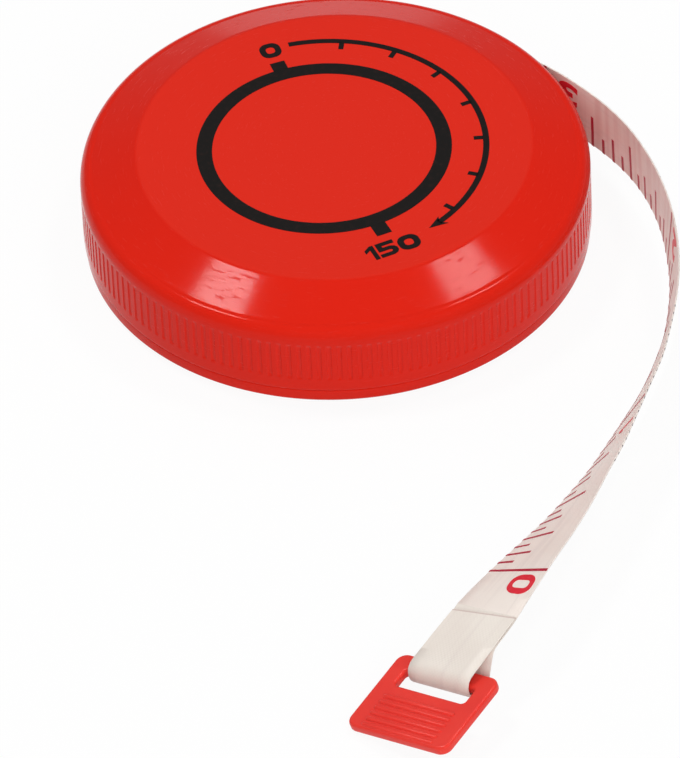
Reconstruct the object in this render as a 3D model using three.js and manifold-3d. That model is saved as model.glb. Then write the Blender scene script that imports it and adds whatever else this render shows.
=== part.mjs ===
// Round spring-return tape measure: a red two-part case, a sprung drum with the tape wound on it,
// a brake with its release button in the underside, and the tape's free end with its pull tab.
// Millimetres, +Z up. The origin is the centre of the case's underside, and -Y faces the viewer.
import * as THREE from 'three';
import { mergeVertices } from 'three/addons/utils/BufferGeometryUtils.js';
import Module from 'manifold-3d';

const wasm = await Module();
wasm.setup();

// Clearances
const RUN = 0.3;             // between pieces that turn or slide on each other
const SEAM = 0.3;            // shadow line between the two covers

// Tape
const TAPE_WIDTH = 6.8;
const TAPE_THICK = 0.35;
const WOUND_LENGTH = 1390;   // what is left on the drum of 1.5 m

// Case
const CASE_RADIUS = 25;
const TOP_RADIUS = 19.4;     // flat dial
const DIAL_ROUND = 0.8;      // soft crease where the dial meets the bevel
const SHOULDER_INSET = 1.2;  // the bevel starts this far inside the skirt
const BEVEL_DROP = 1.85;     // height of the bevel
const EDGE_ROUND = 1.55;     // height of the rounded band under the bevel
const SIDE_WALL = 1.5;
const TOP_WALL = 1.2;
const BASE_WALL = 0.9;
const HEAD_ROOM = 0.5;       // drum cap to the inside of the dial
const FOOT_WIDTH = 3.6;      // ring that the case stands on
const FOOT_HEIGHT = 0.2;
const RIM_INSET = 0.15;      // lower cover's rim inside the skirt
const RIM_HEIGHT = 1.8;      // the seam is this far above the table
const RIM_CHAMFER = 0.85;
const SPIGOT_WALL = 0.9;
const SPIGOT_HEIGHT = 0.7;
const SPIGOT_GAP = 12;       // for the tape, which crosses the spigot on its way out
const SPIGOT_GAP_ANGLE = 50; // degrees round the case
const FLUTE_COUNT = 160;
const FLUTE_DEPTH = 0.28;
const FLUTE_MARGIN_LOW = 1.5;
const FLUTE_MARGIN_HIGH = 0.25;
const SLOT_WIDTH = 1.7;
const SLOT_BEARING = -37.4;  // degrees, the way the tape leaves, seen from above
const SLOT_SETBACK = 1.95;   // middle of the slot behind the tape's exit
const SLOT_LENGTH = 11.6;
const EXIT_ANGLE = 31.86;    // degrees round the case to the tape's exit
const EXIT_PROUD = 0.2;      // the exit stands this far outside the skirt

// Drum
const FLANGE = 0.6;
const FLANGE_LIP = 0.8;      // flange beyond the full roll
const ROLL_GAP = 3.86;       // full roll to the inside of the case
const CORE_WALL = 1;
const CAP = 0.7;
const CAP_INSET = 0.8;       // cap inside the full roll
const CAP_SPIGOT = 0.5;
const NOTCH = 0.9;           // width of the notch and slot that hold the spring's ends
const CUT = 1;               // how far a cutting block reaches past what it cuts

// Post, release button and brake
const POST_RADIUS = 4;
const POST_BORE = 2.6;
const BUTTON_RADIUS = 5;
const BUTTON_RECESS = 0.35;
const BUTTON_EDGE = 0.4;
const BUTTON_TRAVEL = 1;
const COLLAR_WALL = 0.9;
const COLLAR_HEIGHT = 0.8;
const BRAKE_WIDTH = 1.4;
const BRAKE_THICK = 0.5;
const BRAKE_FLANGE = 0.6;
const STEM_LENGTH = 3.2;
const BUTTON_WIRE = 0.4;
const BUTTON_TURNS = 5;

// Power spring
const SPRING_TURNS = 6;
const SPRING_STRIP = 0.3;

// Pull tab: a plate with a slot for the tape, so that a bar is left at its rear end
const TAB_LENGTH = 9.8;
const TAB_WIDTH = 11.8;
const TAB_THICK = 1;
const TAB_CORNER = 1.1;
const TAB_EDGE = 0.3;
const TAB_BEARING = -127.4;  // degrees, the way the tab is pulled
const TAB_TILT = 13;         // degrees, its far side is up
const TAB_PITCH = 7.1;       // degrees, its tip hangs down to the table
const TAB_OFFSET = new THREE.Vector2(-13.29, -78.69);  // tape's exit to the bar's axis
const BAR_WIDTH = 1.9;
const BAR_HEIGHT = 2.8;      // the stiff tape holds the bar's axis this far above the table
const WINDOW_LENGTH = 2.1;
const WINDOW_WIDTH = 8.4;
const WINDOW_CORNER = 0.5;
const RIDGE_COUNT = 6;
const RIDGE_PITCH = 0.755;
const RIDGE_RADIUS = 0.3;
const RIDGE_SINK = 0.12;     // ridges' axes below the tab's face
const RIDGE_MARGIN = 1.5;    // window to the first ridge
const LOOP_PLAY = 0.1;       // round the bar's corners
const LOOP_LENGTH = 5.82;    // bar's axis to the folded end
const LOOP_RISE = 3.43;
const LOOP_SHIFT = 0.15;     // the loop lies off the bar's middle
const LOOP_SKEW = -0.18;     // sideways per length along the pull

// The tape's middle line inside the case, from the roll to its exit
const LEAD_ANGLE = 84.4;     // degrees round the drum where it leaves the roll
const LEAD_GAP = 0.76;       // its middle line above the full roll
const LEAD_STEPS = 5;
const LEAD_SPREAD = 1.3;     // it stays near the roll first and swings out later

// Its free stretch: x and y from the exit, height above the table, and its face's turn from upright
const FREE_ROUTE = [
  [3.1, -3.2, 5.5, 0], [5.58, -6.3, 5.5, -1], [7.63, -9.69, 5.5, -1.6],
  [9.15, -13.34, 5.46, -1.4], [10.21, -17.17, 5.35, 0.5], [10.82, -21.14, 5.18, 3.6],
  [11.02, -25.17, 5.03, 6.3], [10.79, -29.25, 4.88, 9.7], [10.15, -33.31, 4.79, 12.5],
  [9.11, -37.33, 4.75, 17], [7.83, -41.31, 4.78, 22], [6.2, -45.19, 4.91, 26.3],
  [4.53, -49.07, 5.03, 31], [2.83, -52.93, 5.21, 36.1], [0.91, -56.68, 5.42, 41.6],
  [-1.01, -60.39, 5.69, 48.7], [-3.03, -63.98, 6.1, 56.1], [-5.11, -67.49, 6.52, 62.4],
  [-7.22, -70.94, 6.68, 70.1], [-9.21, -73.99, 6.45, 78],
];
const ROUTE_STEP = 1.5;
const ROUTE_DIVISIONS = 1000;

// Facets round a full turn
const CASE_FACETS = 96;
const INNER_FACETS = 60;

// Heights, stacked up from the table
const drumBottom = BASE_WALL + RUN;
const flangeTop = drumBottom + FLANGE;
const tapeBottom = flangeTop + RUN;
const tapeTop = tapeBottom + TAPE_WIDTH;
const capBottom = tapeTop + RUN;
const capTop = capBottom + CAP;
const ceiling = capTop + HEAD_ROOM;
const caseTop = ceiling + TOP_WALL;
const seamTop = RIM_HEIGHT + SEAM;
const shoulder = caseTop - BEVEL_DROP;
const collarTop = BASE_WALL + COLLAR_HEIGHT;
const brakeBottom = flangeTop + RUN;
const brakeTop = brakeBottom + BRAKE_THICK;
const plateTop = brakeTop + BRAKE_FLANGE;
const stemTop = plateTop + STEM_LENGTH;
const springBottom = plateTop + BUTTON_TRAVEL + RUN;
const springTop = capBottom - CAP_SPIGOT - RUN;

// Radii, worked out from the middle
const innerRadius = CASE_RADIUS - SIDE_WALL;
const buttonHole = BUTTON_RADIUS + RUN;
const collarRadius = buttonHole + COLLAR_WALL;
const drumBore = collarRadius + RUN;
const brakeInner = drumBore + RUN;
const brakeOuter = brakeInner + BRAKE_WIDTH;
const rollRadius = innerRadius - ROLL_GAP;
const rollInner = Math.sqrt(rollRadius ** 2 - WOUND_LENGTH * TAPE_THICK / Math.PI);
const coreRadius = rollInner - RUN;
const coreInner = coreRadius - CORE_WALL;
const loopInner = Math.hypot(BAR_WIDTH, TAB_THICK) / 2 + LOOP_PLAY;
const loopOuter = loopInner + TAPE_THICK;

const exitRadius = CASE_RADIUS + EXIT_PROUD;
const exit = polar(exitRadius, EXIT_ANGLE);
const tabPlace = exit.clone().add(TAB_OFFSET);

function polar(radius, degrees) {
  const angle = THREE.MathUtils.degToRad(degrees);
  return new THREE.Vector2(radius * Math.cos(angle), radius * Math.sin(angle));
}

// Merge shared corners and drop triangles that have shrunk to a line, so that the shell is closed.
function weld(geometry) {
  const bare = new THREE.BufferGeometry();
  bare.setAttribute('position', geometry.getAttribute('position'));
  bare.setIndex(geometry.getIndex());
  const merged = mergeVertices(bare, 1e-5);
  const index = merged.getIndex().array;
  const kept = [];
  for (let i = 0; i < index.length; i += 3) {
    const [a, b, c] = index.slice(i, i + 3);
    if (a !== b && b !== c && c !== a) kept.push(a, b, c);
  }
  merged.setIndex(kept);
  return merged;
}

function solid(geometry) {
  const shell = weld(geometry);
  return new wasm.Manifold(new wasm.Mesh({
    numProp: 3,
    vertProperties: new Float32Array(shell.getAttribute('position').array),
    triVerts: new Uint32Array(shell.getIndex().array),
  }));
}

function toGeometry(body) {
  const mesh = body.getMesh();
  const geometry = new THREE.BufferGeometry();
  geometry.setAttribute('position', new THREE.BufferAttribute(mesh.vertProperties, 3));
  geometry.setIndex(new THREE.BufferAttribute(mesh.triVerts, 1));
  return geometry;
}

// Turn an outline of [radius, height] pairs about Z. It runs anticlockwise in the half plane.
function revolve(outline, segments = INNER_FACETS) {
  const points = outline.map(([r, z]) => new THREE.Vector2(r, z));
  return new THREE.LatheGeometry(points, segments).rotateX(Math.PI / 2);
}

function ring(inner, outer, bottom, top) {
  return revolve([[inner, bottom], [outer, bottom], [outer, top], [inner, top], [inner, bottom]]);
}

function box(width, depth, height) {
  return new THREE.BoxGeometry(width, depth, height);
}

// A prism standing on Z, from an outline seen from above.
function prism(shape, bottom, top) {
  const settings = { depth: top - bottom, bevelEnabled: false };
  return new THREE.ExtrudeGeometry(shape, settings).translate(0, 0, bottom);
}

function fluteBand() {
  const shape = new THREE.Shape();
  const root = CASE_RADIUS - FLUTE_DEPTH;
  for (let i = 0; i < FLUTE_COUNT * 2; i += 1) {
    const angle = (i / FLUTE_COUNT) * Math.PI;
    const radius = i % 2 ? root - 0.02 : CASE_RADIUS;
    const point = [radius * Math.cos(angle), radius * Math.sin(angle)];
    if (i === 0) shape.moveTo(...point);
    else shape.lineTo(...point);
  }
  shape.closePath();
  const hole = new THREE.Path();
  hole.absarc(0, 0, root - FLUTE_DEPTH, 0, Math.PI * 2, true);
  shape.holes.push(hole);
  return new THREE.ExtrudeGeometry(shape, {
    depth: shoulder - EDGE_ROUND - FLUTE_MARGIN_HIGH - seamTop - FLUTE_MARGIN_LOW,
    bevelEnabled: false,
    curveSegments: 48,
  }).translate(0, 0, seamTop + FLUTE_MARGIN_LOW);
}

// A block along the tape's way out of the case, in the middle of the tape's height.
function slotBlock(width, height = TAPE_WIDTH + 2 * RUN) {
  const centre = exit.clone().sub(polar(SLOT_SETBACK, SLOT_BEARING));
  return box(SLOT_LENGTH, width, height)
    .rotateZ(THREE.MathUtils.degToRad(SLOT_BEARING))
    .translate(centre.x, centre.y, (tapeBottom + tapeTop) / 2);
}

// The radial cut through the post that holds the spring's inner end.
function postSlot() {
  return box(POST_RADIUS * 1.5, NOTCH, ceiling - springBottom + 2 * CUT)
    .translate(POST_RADIUS * 0.75, 0, (ceiling + springBottom) / 2 - CUT);
}

function upperCover() {
  const root = CASE_RADIUS - FLUTE_DEPTH;
  const fluteLow = seamTop + FLUTE_MARGIN_LOW;
  const fluteHigh = shoulder - EDGE_ROUND - FLUTE_MARGIN_HIGH;
  const shoulderRadius = CASE_RADIUS - SHOULDER_INSET;
  const innerShoulder = tapeTop + RUN;
  const edge = [];
  for (let i = 0; i <= 4; i += 1) {
    const t = (i / 4) * Math.PI / 2;
    edge.push([
      shoulderRadius + SHOULDER_INSET * Math.cos(t),
      shoulder - EDGE_ROUND + EDGE_ROUND * Math.sin(t),
    ]);
  }
  const body = revolve([
    [0, ceiling], [POST_BORE, ceiling], [POST_BORE, springBottom], [POST_RADIUS, springBottom],
    [POST_RADIUS, ceiling], [TOP_RADIUS - TOP_WALL / 2, ceiling], [innerRadius, innerShoulder],
    [innerRadius, seamTop], [CASE_RADIUS, seamTop], [CASE_RADIUS, fluteLow - FLUTE_DEPTH],
    [root, fluteLow], [root, fluteHigh], [CASE_RADIUS, fluteHigh + FLUTE_DEPTH / 2],
    ...edge, [TOP_RADIUS + DIAL_ROUND, caseTop - DIAL_ROUND / 4], [TOP_RADIUS, caseTop], [0, caseTop],
  ], CASE_FACETS);
  const plainMouth = solid(slotBlock(SLOT_WIDTH + 3 * SIDE_WALL, caseTop));
  const flutes = solid(fluteBand()).subtract(plainMouth);
  const slot = solid(slotBlock(SLOT_WIDTH));
  return toGeometry(solid(body).add(flutes).subtract(slot).subtract(solid(postSlot())));
}

function spigotGap() {
  const centre = polar(innerRadius, SPIGOT_GAP_ANGLE);
  return box(4 * SPIGOT_WALL, SPIGOT_GAP, 2 * SPIGOT_HEIGHT)
    .rotateZ(THREE.MathUtils.degToRad(SPIGOT_GAP_ANGLE))
    .translate(centre.x, centre.y, RIM_HEIGHT + SPIGOT_HEIGHT);
}

function lowerCover() {
  const rim = CASE_RADIUS - RIM_INSET;
  const spigot = innerRadius - RUN;
  const spigotTop = RIM_HEIGHT + SPIGOT_HEIGHT;
  const body = revolve([
    [buttonHole, FOOT_HEIGHT], [rim - FOOT_WIDTH, FOOT_HEIGHT], [rim - FOOT_WIDTH + FOOT_HEIGHT, 0],
    [rim - RIM_CHAMFER, 0], [rim, RIM_CHAMFER], [rim, RIM_HEIGHT], [spigot, RIM_HEIGHT],
    [spigot, spigotTop],
    [spigot - SPIGOT_WALL, spigotTop], [spigot - SPIGOT_WALL, BASE_WALL], [collarRadius, BASE_WALL],
    [collarRadius, collarTop], [buttonHole, collarTop], [buttonHole, FOOT_HEIGHT],
  ], CASE_FACETS);
  return toGeometry(solid(body).subtract(solid(spigotGap())));
}

function drum() {
  const flangeRadius = rollRadius + FLANGE_LIP;
  const body = revolve([
    [drumBore, drumBottom], [flangeRadius, drumBottom], [flangeRadius, flangeTop], [coreRadius, flangeTop],
    [coreRadius, tapeTop], [coreInner, tapeTop], [coreInner, flangeTop], [drumBore, flangeTop],
    [drumBore, drumBottom],
  ]);
  const notch = box(CORE_WALL * 3, NOTCH, tapeTop - springBottom + 2 * CUT)
    .translate(coreRadius - CORE_WALL / 2, 0, (tapeTop + springBottom) / 2 + CUT - RUN);
  return toGeometry(solid(body).subtract(solid(notch)));
}

function drumCap() {
  const bore = POST_RADIUS + RUN;
  const spigot = coreInner - RUN;
  const spigotBottom = capBottom - CAP_SPIGOT;
  const edge = rollRadius - CAP_INSET;
  return weld(revolve([
    [bore, capBottom], [spigot - CORE_WALL, capBottom], [spigot - CORE_WALL, spigotBottom],
    [spigot, spigotBottom], [spigot, capBottom], [edge, capBottom], [edge, capTop], [bore, capTop],
    [bore, capBottom],
  ]));
}

// A flat strip on edge: the outline of its middle line with its thickness, raised to its width.
function stripOnEdge(line, thick, bottom, top) {
  const sides = [[], []];
  line.forEach((point, i) => {
    const before = line[Math.max(i - 1, 0)];
    const after = line[Math.min(i + 1, line.length - 1)];
    const along = after.clone().sub(before).normalize();
    const across = new THREE.Vector2(-along.y, along.x).multiplyScalar(thick / 2);
    sides[0].push(point.clone().add(across));
    sides[1].push(point.clone().sub(across));
  });
  return weld(prism(new THREE.Shape([...sides[0], ...sides[1].reverse()]), bottom, top));
}

// Inner end in the post's slot, turns spreading outward, outer end in the drum's notch.
function powerSpring() {
  const first = POST_RADIUS + 3 * RUN;
  const last = coreInner - RUN - SPRING_STRIP;
  const steps = SPRING_TURNS * 24;
  const line = [new THREE.Vector2(POST_BORE + RUN, 0), new THREE.Vector2(POST_RADIUS, 0.02)];
  for (let i = 1; i < steps; i += 1) {
    const angle = (i / steps) * SPRING_TURNS * Math.PI * 2;
    const radius = first + (last - first) * (i / steps);
    line.push(new THREE.Vector2(radius * Math.cos(angle), radius * Math.sin(angle)));
  }
  line.push(new THREE.Vector2(last + SPRING_STRIP, -0.02), new THREE.Vector2(coreRadius - RUN, 0));
  return stripOnEdge(line, SPRING_STRIP, springBottom, springTop);
}

function releaseButton() {
  const face = BUTTON_RECESS;
  const stem = POST_BORE - RUN;
  return weld(revolve([
    [0, face], [BUTTON_RADIUS - BUTTON_EDGE, face], [BUTTON_RADIUS, face + BUTTON_EDGE],
    [BUTTON_RADIUS, brakeTop], [brakeOuter, brakeTop], [brakeOuter, plateTop], [stem, plateTop],
    [stem, stemTop], [0, stemTop],
  ]));
}

class Helix extends THREE.Curve {
  constructor(radius, bottom, top, turns) {
    super();
    Object.assign(this, { radius, bottom, top, turns });
  }

  getPoint(t, target = new THREE.Vector3()) {
    const angle = t * this.turns * Math.PI * 2;
    const height = this.bottom + (this.top - this.bottom) * t;
    return target.set(this.radius * Math.cos(angle), this.radius * Math.sin(angle), height);
  }
}

function buttonSpring() {
  const wire = BUTTON_WIRE / 2;
  const section = new THREE.Shape().absarc(0, 0, wire, 0, Math.PI * 2);
  const path = new Helix(POST_BORE - RUN - wire, stemTop + RUN + wire, ceiling - RUN - wire, BUTTON_TURNS);
  const settings = { extrudePath: path, steps: BUTTON_TURNS * 12, curveSegments: 3 };
  return weld(new THREE.ExtrudeGeometry(section, settings));
}

function smoothCurve(points) {
  const curve = new THREE.CatmullRomCurve3(points, false, 'catmullrom');
  curve.arcLengthDivisions = ROUTE_DIVISIONS;
  return curve;
}

// The whole route from the roll to the fold: a spiral out to the exit, then the free stretch.
function tapeRoute() {
  const middle = (tapeBottom + tapeTop) / 2;
  const first = rollRadius + LEAD_GAP;
  const lead = [];
  for (let i = 0; i <= LEAD_STEPS; i += 1) {
    const share = i / LEAD_STEPS;
    const radius = first + (exitRadius - first) * share ** LEAD_SPREAD;
    const point = polar(radius, LEAD_ANGLE + (EXIT_ANGLE - LEAD_ANGLE) * share);
    lead.push([point.x, point.y, middle, 0]);
  }
  return [...lead, ...FREE_ROUTE.map(([x, y, z, turn]) => [exit.x + x, exit.y + y, z, turn])];
}

// The tape as a strip along its route, between two distances from the route's start.
function tapeStrip(from, to) {
  const route = tapeRoute();
  const path = smoothCurve(route.map(([x, y, z]) => new THREE.Vector3(x, y, z)));
  const turn = smoothCurve(route.map(([, , , degrees]) => new THREE.Vector3(degrees, 0, 0)));
  const length = path.getLength();
  const end = to ?? length;
  const steps = Math.round((end - from) / ROUTE_STEP);
  const up = new THREE.Vector3(0, 0, 1);
  const positions = [];
  for (let i = 0; i <= steps; i += 1) {
    const t = path.getUtoTmapping((from + (end - from) * (i / steps)) / length);
    const along = path.getTangent(t);
    const across = up.clone().addScaledVector(along, -along.z).normalize()
      .applyAxisAngle(along, -THREE.MathUtils.degToRad(turn.getPoint(t).x));
    const through = along.clone().cross(across);
    for (const [w, h] of [[-1, -1], [1, -1], [1, 1], [-1, 1]]) {
      const corner = path.getPoint(t);
      corner.addScaledVector(across, w * TAPE_WIDTH / 2);
      corner.addScaledVector(through, h * TAPE_THICK / 2);
      positions.push(...corner.toArray());
    }
  }
  const index = [0, 3, 2, 0, 2, 1];
  for (let i = 0; i < steps; i += 1) {
    for (let k = 0; k < 4; k += 1) {
      const a = i * 4 + k;
      const b = i * 4 + ((k + 1) % 4);
      index.push(a, b, b + 4, a, b + 4, a + 4);
    }
  }
  const last = steps * 4;
  index.push(last, last + 1, last + 2, last, last + 2, last + 3);
  const geometry = new THREE.BufferGeometry();
  geometry.setAttribute('position', new THREE.Float32BufferAttribute(positions, 3));
  geometry.setIndex(index);
  return geometry;
}

function distanceToExit() {
  const route = tapeRoute();
  const path = smoothCurve(route.map(([x, y, z]) => new THREE.Vector3(x, y, z)));
  return path.getLengths()[Math.round((LEAD_STEPS / (route.length - 1)) * ROUTE_DIVISIONS)];
}

// The folded end: round the bar, its two layers closing on each other at the fold. Made in the plane
// of the pull, +X the way it is pulled and +Z up, with the bar's axis at the origin, then skewed to the
// side the tape comes from.
function tapeLoop() {
  const fold = new THREE.Vector2(-LOOP_LENGTH, LOOP_RISE);
  const lean = Math.atan2(fold.y, fold.x);
  const outline = (radius, end, half) => {
    const open = Math.acos(Math.min((radius - half) / end.length(), 1));
    const points = [];
    for (let i = 0; i <= 16; i += 1) {
      const angle = lean + open + (2 * Math.PI - 2 * open) * (i / 16);
      points.push(new THREE.Vector2(radius * Math.cos(angle), radius * Math.sin(angle)));
    }
    const side = new THREE.Vector2(-Math.sin(lean), Math.cos(lean)).multiplyScalar(half);
    points.push(end.clone().sub(side));
    if (half > 0) points.push(end.clone().add(side));
    return points;
  };
  const shape = new THREE.Shape(outline(loopOuter, fold, TAPE_THICK));
  shape.holes.push(new THREE.Path(outline(loopInner, fold.clone().multiplyScalar(0.72), 0)));
  const skew = new THREE.Matrix4().makeShear(LOOP_SKEW, 0, 0, 0, 0, 0);
  return weld(prism(shape, -TAPE_WIDTH / 2, TAPE_WIDTH / 2).rotateX(Math.PI / 2)
    .translate(0, LOOP_SHIFT, 0).applyMatrix4(skew));
}

// A rectangle with round corners, between two ends along X and even about the X axis.
function roundedShape(rear, front, half, corner) {
  const shape = new THREE.Shape();
  shape.moveTo(rear, corner - half);
  shape.absarc(rear + corner, corner - half, corner, Math.PI, Math.PI * 1.5);
  shape.absarc(front - corner, corner - half, corner, Math.PI * 1.5, Math.PI * 2);
  shape.absarc(front - corner, half - corner, corner, 0, Math.PI / 2);
  shape.absarc(rear + corner, half - corner, corner, Math.PI / 2, Math.PI);
  return shape;
}

// The bar's axis is the origin, so the tab swings about it.
function pullTab() {
  const rear = -BAR_WIDTH / 2;
  const front = rear + TAB_LENGTH;
  const windowEnd = BAR_WIDTH / 2 + WINDOW_LENGTH;
  const e = TAB_EDGE;
  const plate = roundedShape(rear + e, front - e, TAB_WIDTH / 2 - e, TAB_CORNER - e);
  const bevel = { bevelThickness: e, bevelSize: e, bevelSegments: 2 };
  const settings = { depth: TAB_THICK - 2 * e, curveSegments: 6, ...bevel };
  const window = roundedShape(BAR_WIDTH / 2, windowEnd, WINDOW_WIDTH / 2, WINDOW_CORNER);
  let body = solid(new THREE.ExtrudeGeometry(plate, settings).translate(0, 0, e - TAB_THICK / 2));
  body = body.subtract(solid(prism(window, -TAB_THICK, TAB_THICK)));
  for (let i = 0; i < RIDGE_COUNT; i += 1) {
    const ridge = new THREE.CylinderGeometry(RIDGE_RADIUS, RIDGE_RADIUS, WINDOW_WIDTH, 12);
    const along = windowEnd + RIDGE_MARGIN + i * RIDGE_PITCH;
    body = body.add(solid(ridge.translate(along, 0, TAB_THICK / 2 - RIDGE_SINK)));
  }
  return toGeometry(body);
}

function piece(name, geometry, colour, roughness, metalness = 0) {
  const material = new THREE.MeshStandardMaterial({ color: colour, roughness, metalness });
  const mesh = new THREE.Mesh(geometry, material);
  mesh.name = name;
  return mesh;
}

const RED = 0xd22d23;
const TAB_RED = 0xe8453a;
const IVORY = 0xe2d6cd;
const STEEL = 0x9a9ea3;
const GREY = 0x4b4d50;
const RUBBER = 0x262626;

const housing = new THREE.Group();
housing.add(
  piece('upper_cover', upperCover(), RED, 0.3),
  piece('lower_cover', lowerCover(), RED, 0.35),
);

const reel = new THREE.Group();
reel.add(
  piece('drum', drum(), GREY, 0.5),
  piece('drum_cap', drumCap(), GREY, 0.5),
  piece('power_spring', powerSpring(), STEEL, 0.3, 1),
  piece('tape_roll', weld(ring(rollInner, rollRadius, tapeBottom, tapeTop)), IVORY, 0.6),
);

const release = new THREE.Group();
release.add(
  piece('release_button', releaseButton(), RED, 0.35),
  piece('brake_ring', weld(ring(brakeInner, brakeOuter, brakeBottom, brakeTop)), RUBBER, 0.9),
  piece('button_spring', buttonSpring(), STEEL, 0.3, 1),
);

const leadLength = distanceToExit();
const tape = new THREE.Group();
tape.add(
  piece('tape_lead', tapeStrip(0, leadLength - RUN / 2), IVORY, 0.6),
  piece('tape_free', tapeStrip(leadLength + RUN / 2), IVORY, 0.6),
);

const pull = new THREE.Group();
pull.position.set(tabPlace.x, tabPlace.y, BAR_HEIGHT);
pull.rotation.set(THREE.MathUtils.degToRad(TAB_TILT), 0, THREE.MathUtils.degToRad(TAB_BEARING), 'ZYX');
const tab = piece('pull_tab', pullTab(), TAB_RED, 0.4);
tab.rotation.y = THREE.MathUtils.degToRad(TAB_PITCH);
pull.add(piece('tape_loop', tapeLoop(), IVORY, 0.6), tab);

const tapeMeasure = new THREE.Group();
tapeMeasure.add(housing, reel, release, tape, pull);

export default tapeMeasure;
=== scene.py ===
"""Looks of the round spring-return tape measure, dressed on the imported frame. Sizes are in millimetres."""
import math
from functools import partial

import bmesh
import bpy
import numpy as np
from mathutils import Matrix, Vector


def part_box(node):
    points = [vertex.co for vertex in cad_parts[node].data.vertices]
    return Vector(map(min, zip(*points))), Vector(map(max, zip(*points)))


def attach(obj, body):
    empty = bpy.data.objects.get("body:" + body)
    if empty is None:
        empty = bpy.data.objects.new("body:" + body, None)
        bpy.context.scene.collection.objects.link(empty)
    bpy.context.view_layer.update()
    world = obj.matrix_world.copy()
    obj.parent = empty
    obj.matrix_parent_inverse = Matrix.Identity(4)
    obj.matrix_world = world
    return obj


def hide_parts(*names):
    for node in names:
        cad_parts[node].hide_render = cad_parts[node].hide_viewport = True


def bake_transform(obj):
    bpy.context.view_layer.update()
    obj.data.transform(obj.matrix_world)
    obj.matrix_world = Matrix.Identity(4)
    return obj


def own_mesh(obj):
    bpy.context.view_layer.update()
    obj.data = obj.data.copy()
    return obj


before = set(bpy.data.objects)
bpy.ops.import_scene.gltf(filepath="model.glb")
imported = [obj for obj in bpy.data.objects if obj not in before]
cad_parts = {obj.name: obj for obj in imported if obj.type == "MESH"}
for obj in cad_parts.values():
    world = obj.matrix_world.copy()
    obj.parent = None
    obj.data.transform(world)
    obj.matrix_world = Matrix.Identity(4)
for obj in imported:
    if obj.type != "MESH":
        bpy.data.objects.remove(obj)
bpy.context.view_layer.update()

MM = 0.001

# Camera, fitted to the dial's rings and the case's outline in the photograph
IMAGE_WIDTH = 680
IMAGE_HEIGHT = 758
FOCAL_PIXELS = 10000
LOOK_DOWN = 0.7496189
ROLL = -0.0485202
PIXELS_PER_MM = 10.162
ORIGIN_PIXEL = (338.2534, 233.4295)

# Case
CASE_RADIUS = 25
CASE_TOP = 11.6
PRINT_THICK = 0.03
DIAL_RADIUS = 19.4
DIAL_FACE = CASE_TOP - PRINT_THICK
SHOULDER = (23.8, 9.75)     # radius and height where the rounded band meets the bevel
EDGE_ROUND = 1.55
CREASE_ROUND = 1.4          # between the bevel and the dial
LIP_ROUND = 0.22            # at the skirt's lower edge
CEILING = 10.4
CEILING_RADIUS = 18.8
INNER_RADIUS = 23.5
INNER_SHOULDER = 9.2
SEAM_TOP = 2.1
SEAM_LOW = 2.02
FLUTE_COUNT = 160
FLUTE_DEPTH = 0.11
FLUTE_SHARE = 0.5           # the groove's share of a flute's width
FLUTE_LOW = 3.6
FLUTE_HIGH = 7.95
FLUTE_SCOOP = 0.5
SLOT_WIDTH = 1.7
SLOT_BEARING = -37.4
SLOT_SETBACK = 1.95
SLOT_LENGTH = 11.6
SLOT_HEIGHT = 7.4
MOUTH_REACH = 3             # plain wall round the slot

# Base and button
BASE_RADIUS = 24.85
BASE_UNDER = 0.2
BASE_FLOOR = 0.9
FOOT = (21.45, 24)          # the ring that the case stands on
SPIGOT = (22.3, 23.2)       # the ring that fits into the cover
SPIGOT_TOP = 2.5
SPIGOT_GAP = (3.6, 12, 1.2)     # room for the tape, cut out of that ring
SPIGOT_GAP_ANGLE = 50
SPIGOT_GAP_RISE = 0.65      # the cut's middle above the seam
COLLAR = (5.3, 6.2)         # round the button
COLLAR_TOP = 1.7
BUTTON_RADIUS = 5
FLANGE_RADIUS = 8.2
FLANGE = (2.6, 3.2)         # heights of its lower and upper face
STEM_RADIUS = 2.3
STEM_TOP = 6.4

# Works
POST_RADIUS = 4
POST_BORE = 2.6
POST_LOW = 4.5
POST_SLOT = 0.9
SPRING_TURNS = 6
SPRING_STRIP = 0.3
SPRING_INNER = 4.9
SPRING_OUTER = 13.29
SPRING_HOOK = 14.59         # its outer end in the drum
TURN_POINTS = 72            # points on each turn of a spiral

# Print on the dial
DIAL_CENTRE = np.array((-0.98, -0.25))
RING = (10.95, 12.48)       # inner and outer radius
ZERO_ANGLE = 108.1
FULL_ANGLE = -67.2
POINTERS = ((ZERO_ANGLE, 13.65, 1.5), (FULL_ANGLE, 14.05, 1.55))    # angle, reach, width
TICK_COUNT = 7
TICK_START = 81.75
TICK_STEP = -20.08
TICK_RADIUS = 15.15
TICK_SIZE = (1, 0.5)
ARROW_LINE = (15.54, 16.14)     # its two radii
ARROW_SWEEP = (101, -47.2)
ARROW_HEAD = ((15.25, -45.25), (15.8, -51.7), (16.6, -45.25), (15.82, -47))     # radius, angle
# Bold wide figures, drawn in a unit box
ONE = [(0.55, 0), (1, 0), (1, 1), (0.62, 1), (0, 0.78), (0, 0.56), (0.55, 0.74)]
FIVE = [
    (0, 0), (0.66, 0), (0.88, 0.07), (1, 0.22), (1, 0.42), (0.88, 0.57), (0.66, 0.64), (0.3, 0.64),
    (0.3, 0.77), (0.96, 0.77), (0.96, 1), (0.02, 1), (0.02, 0.41), (0.6, 0.41), (0.7, 0.37), (0.7, 0.27),
    (0.6, 0.23), (0, 0.23),
]
DIAL_FIGURES = [            # outline or none for a nought, angle, left, right, near, far
    (None, ZERO_ANGLE, -1.05, 1.05, 14.5, 16.6), (ONE, FULL_ANGLE, -2.82, -1.8, 15.05, 17.1),
    (FIVE, FULL_ANGLE, -1.62, 0.34, 15.05, 17.1), (None, FULL_ANGLE, 0.53, 2.72, 15.12, 17.17),
]
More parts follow.
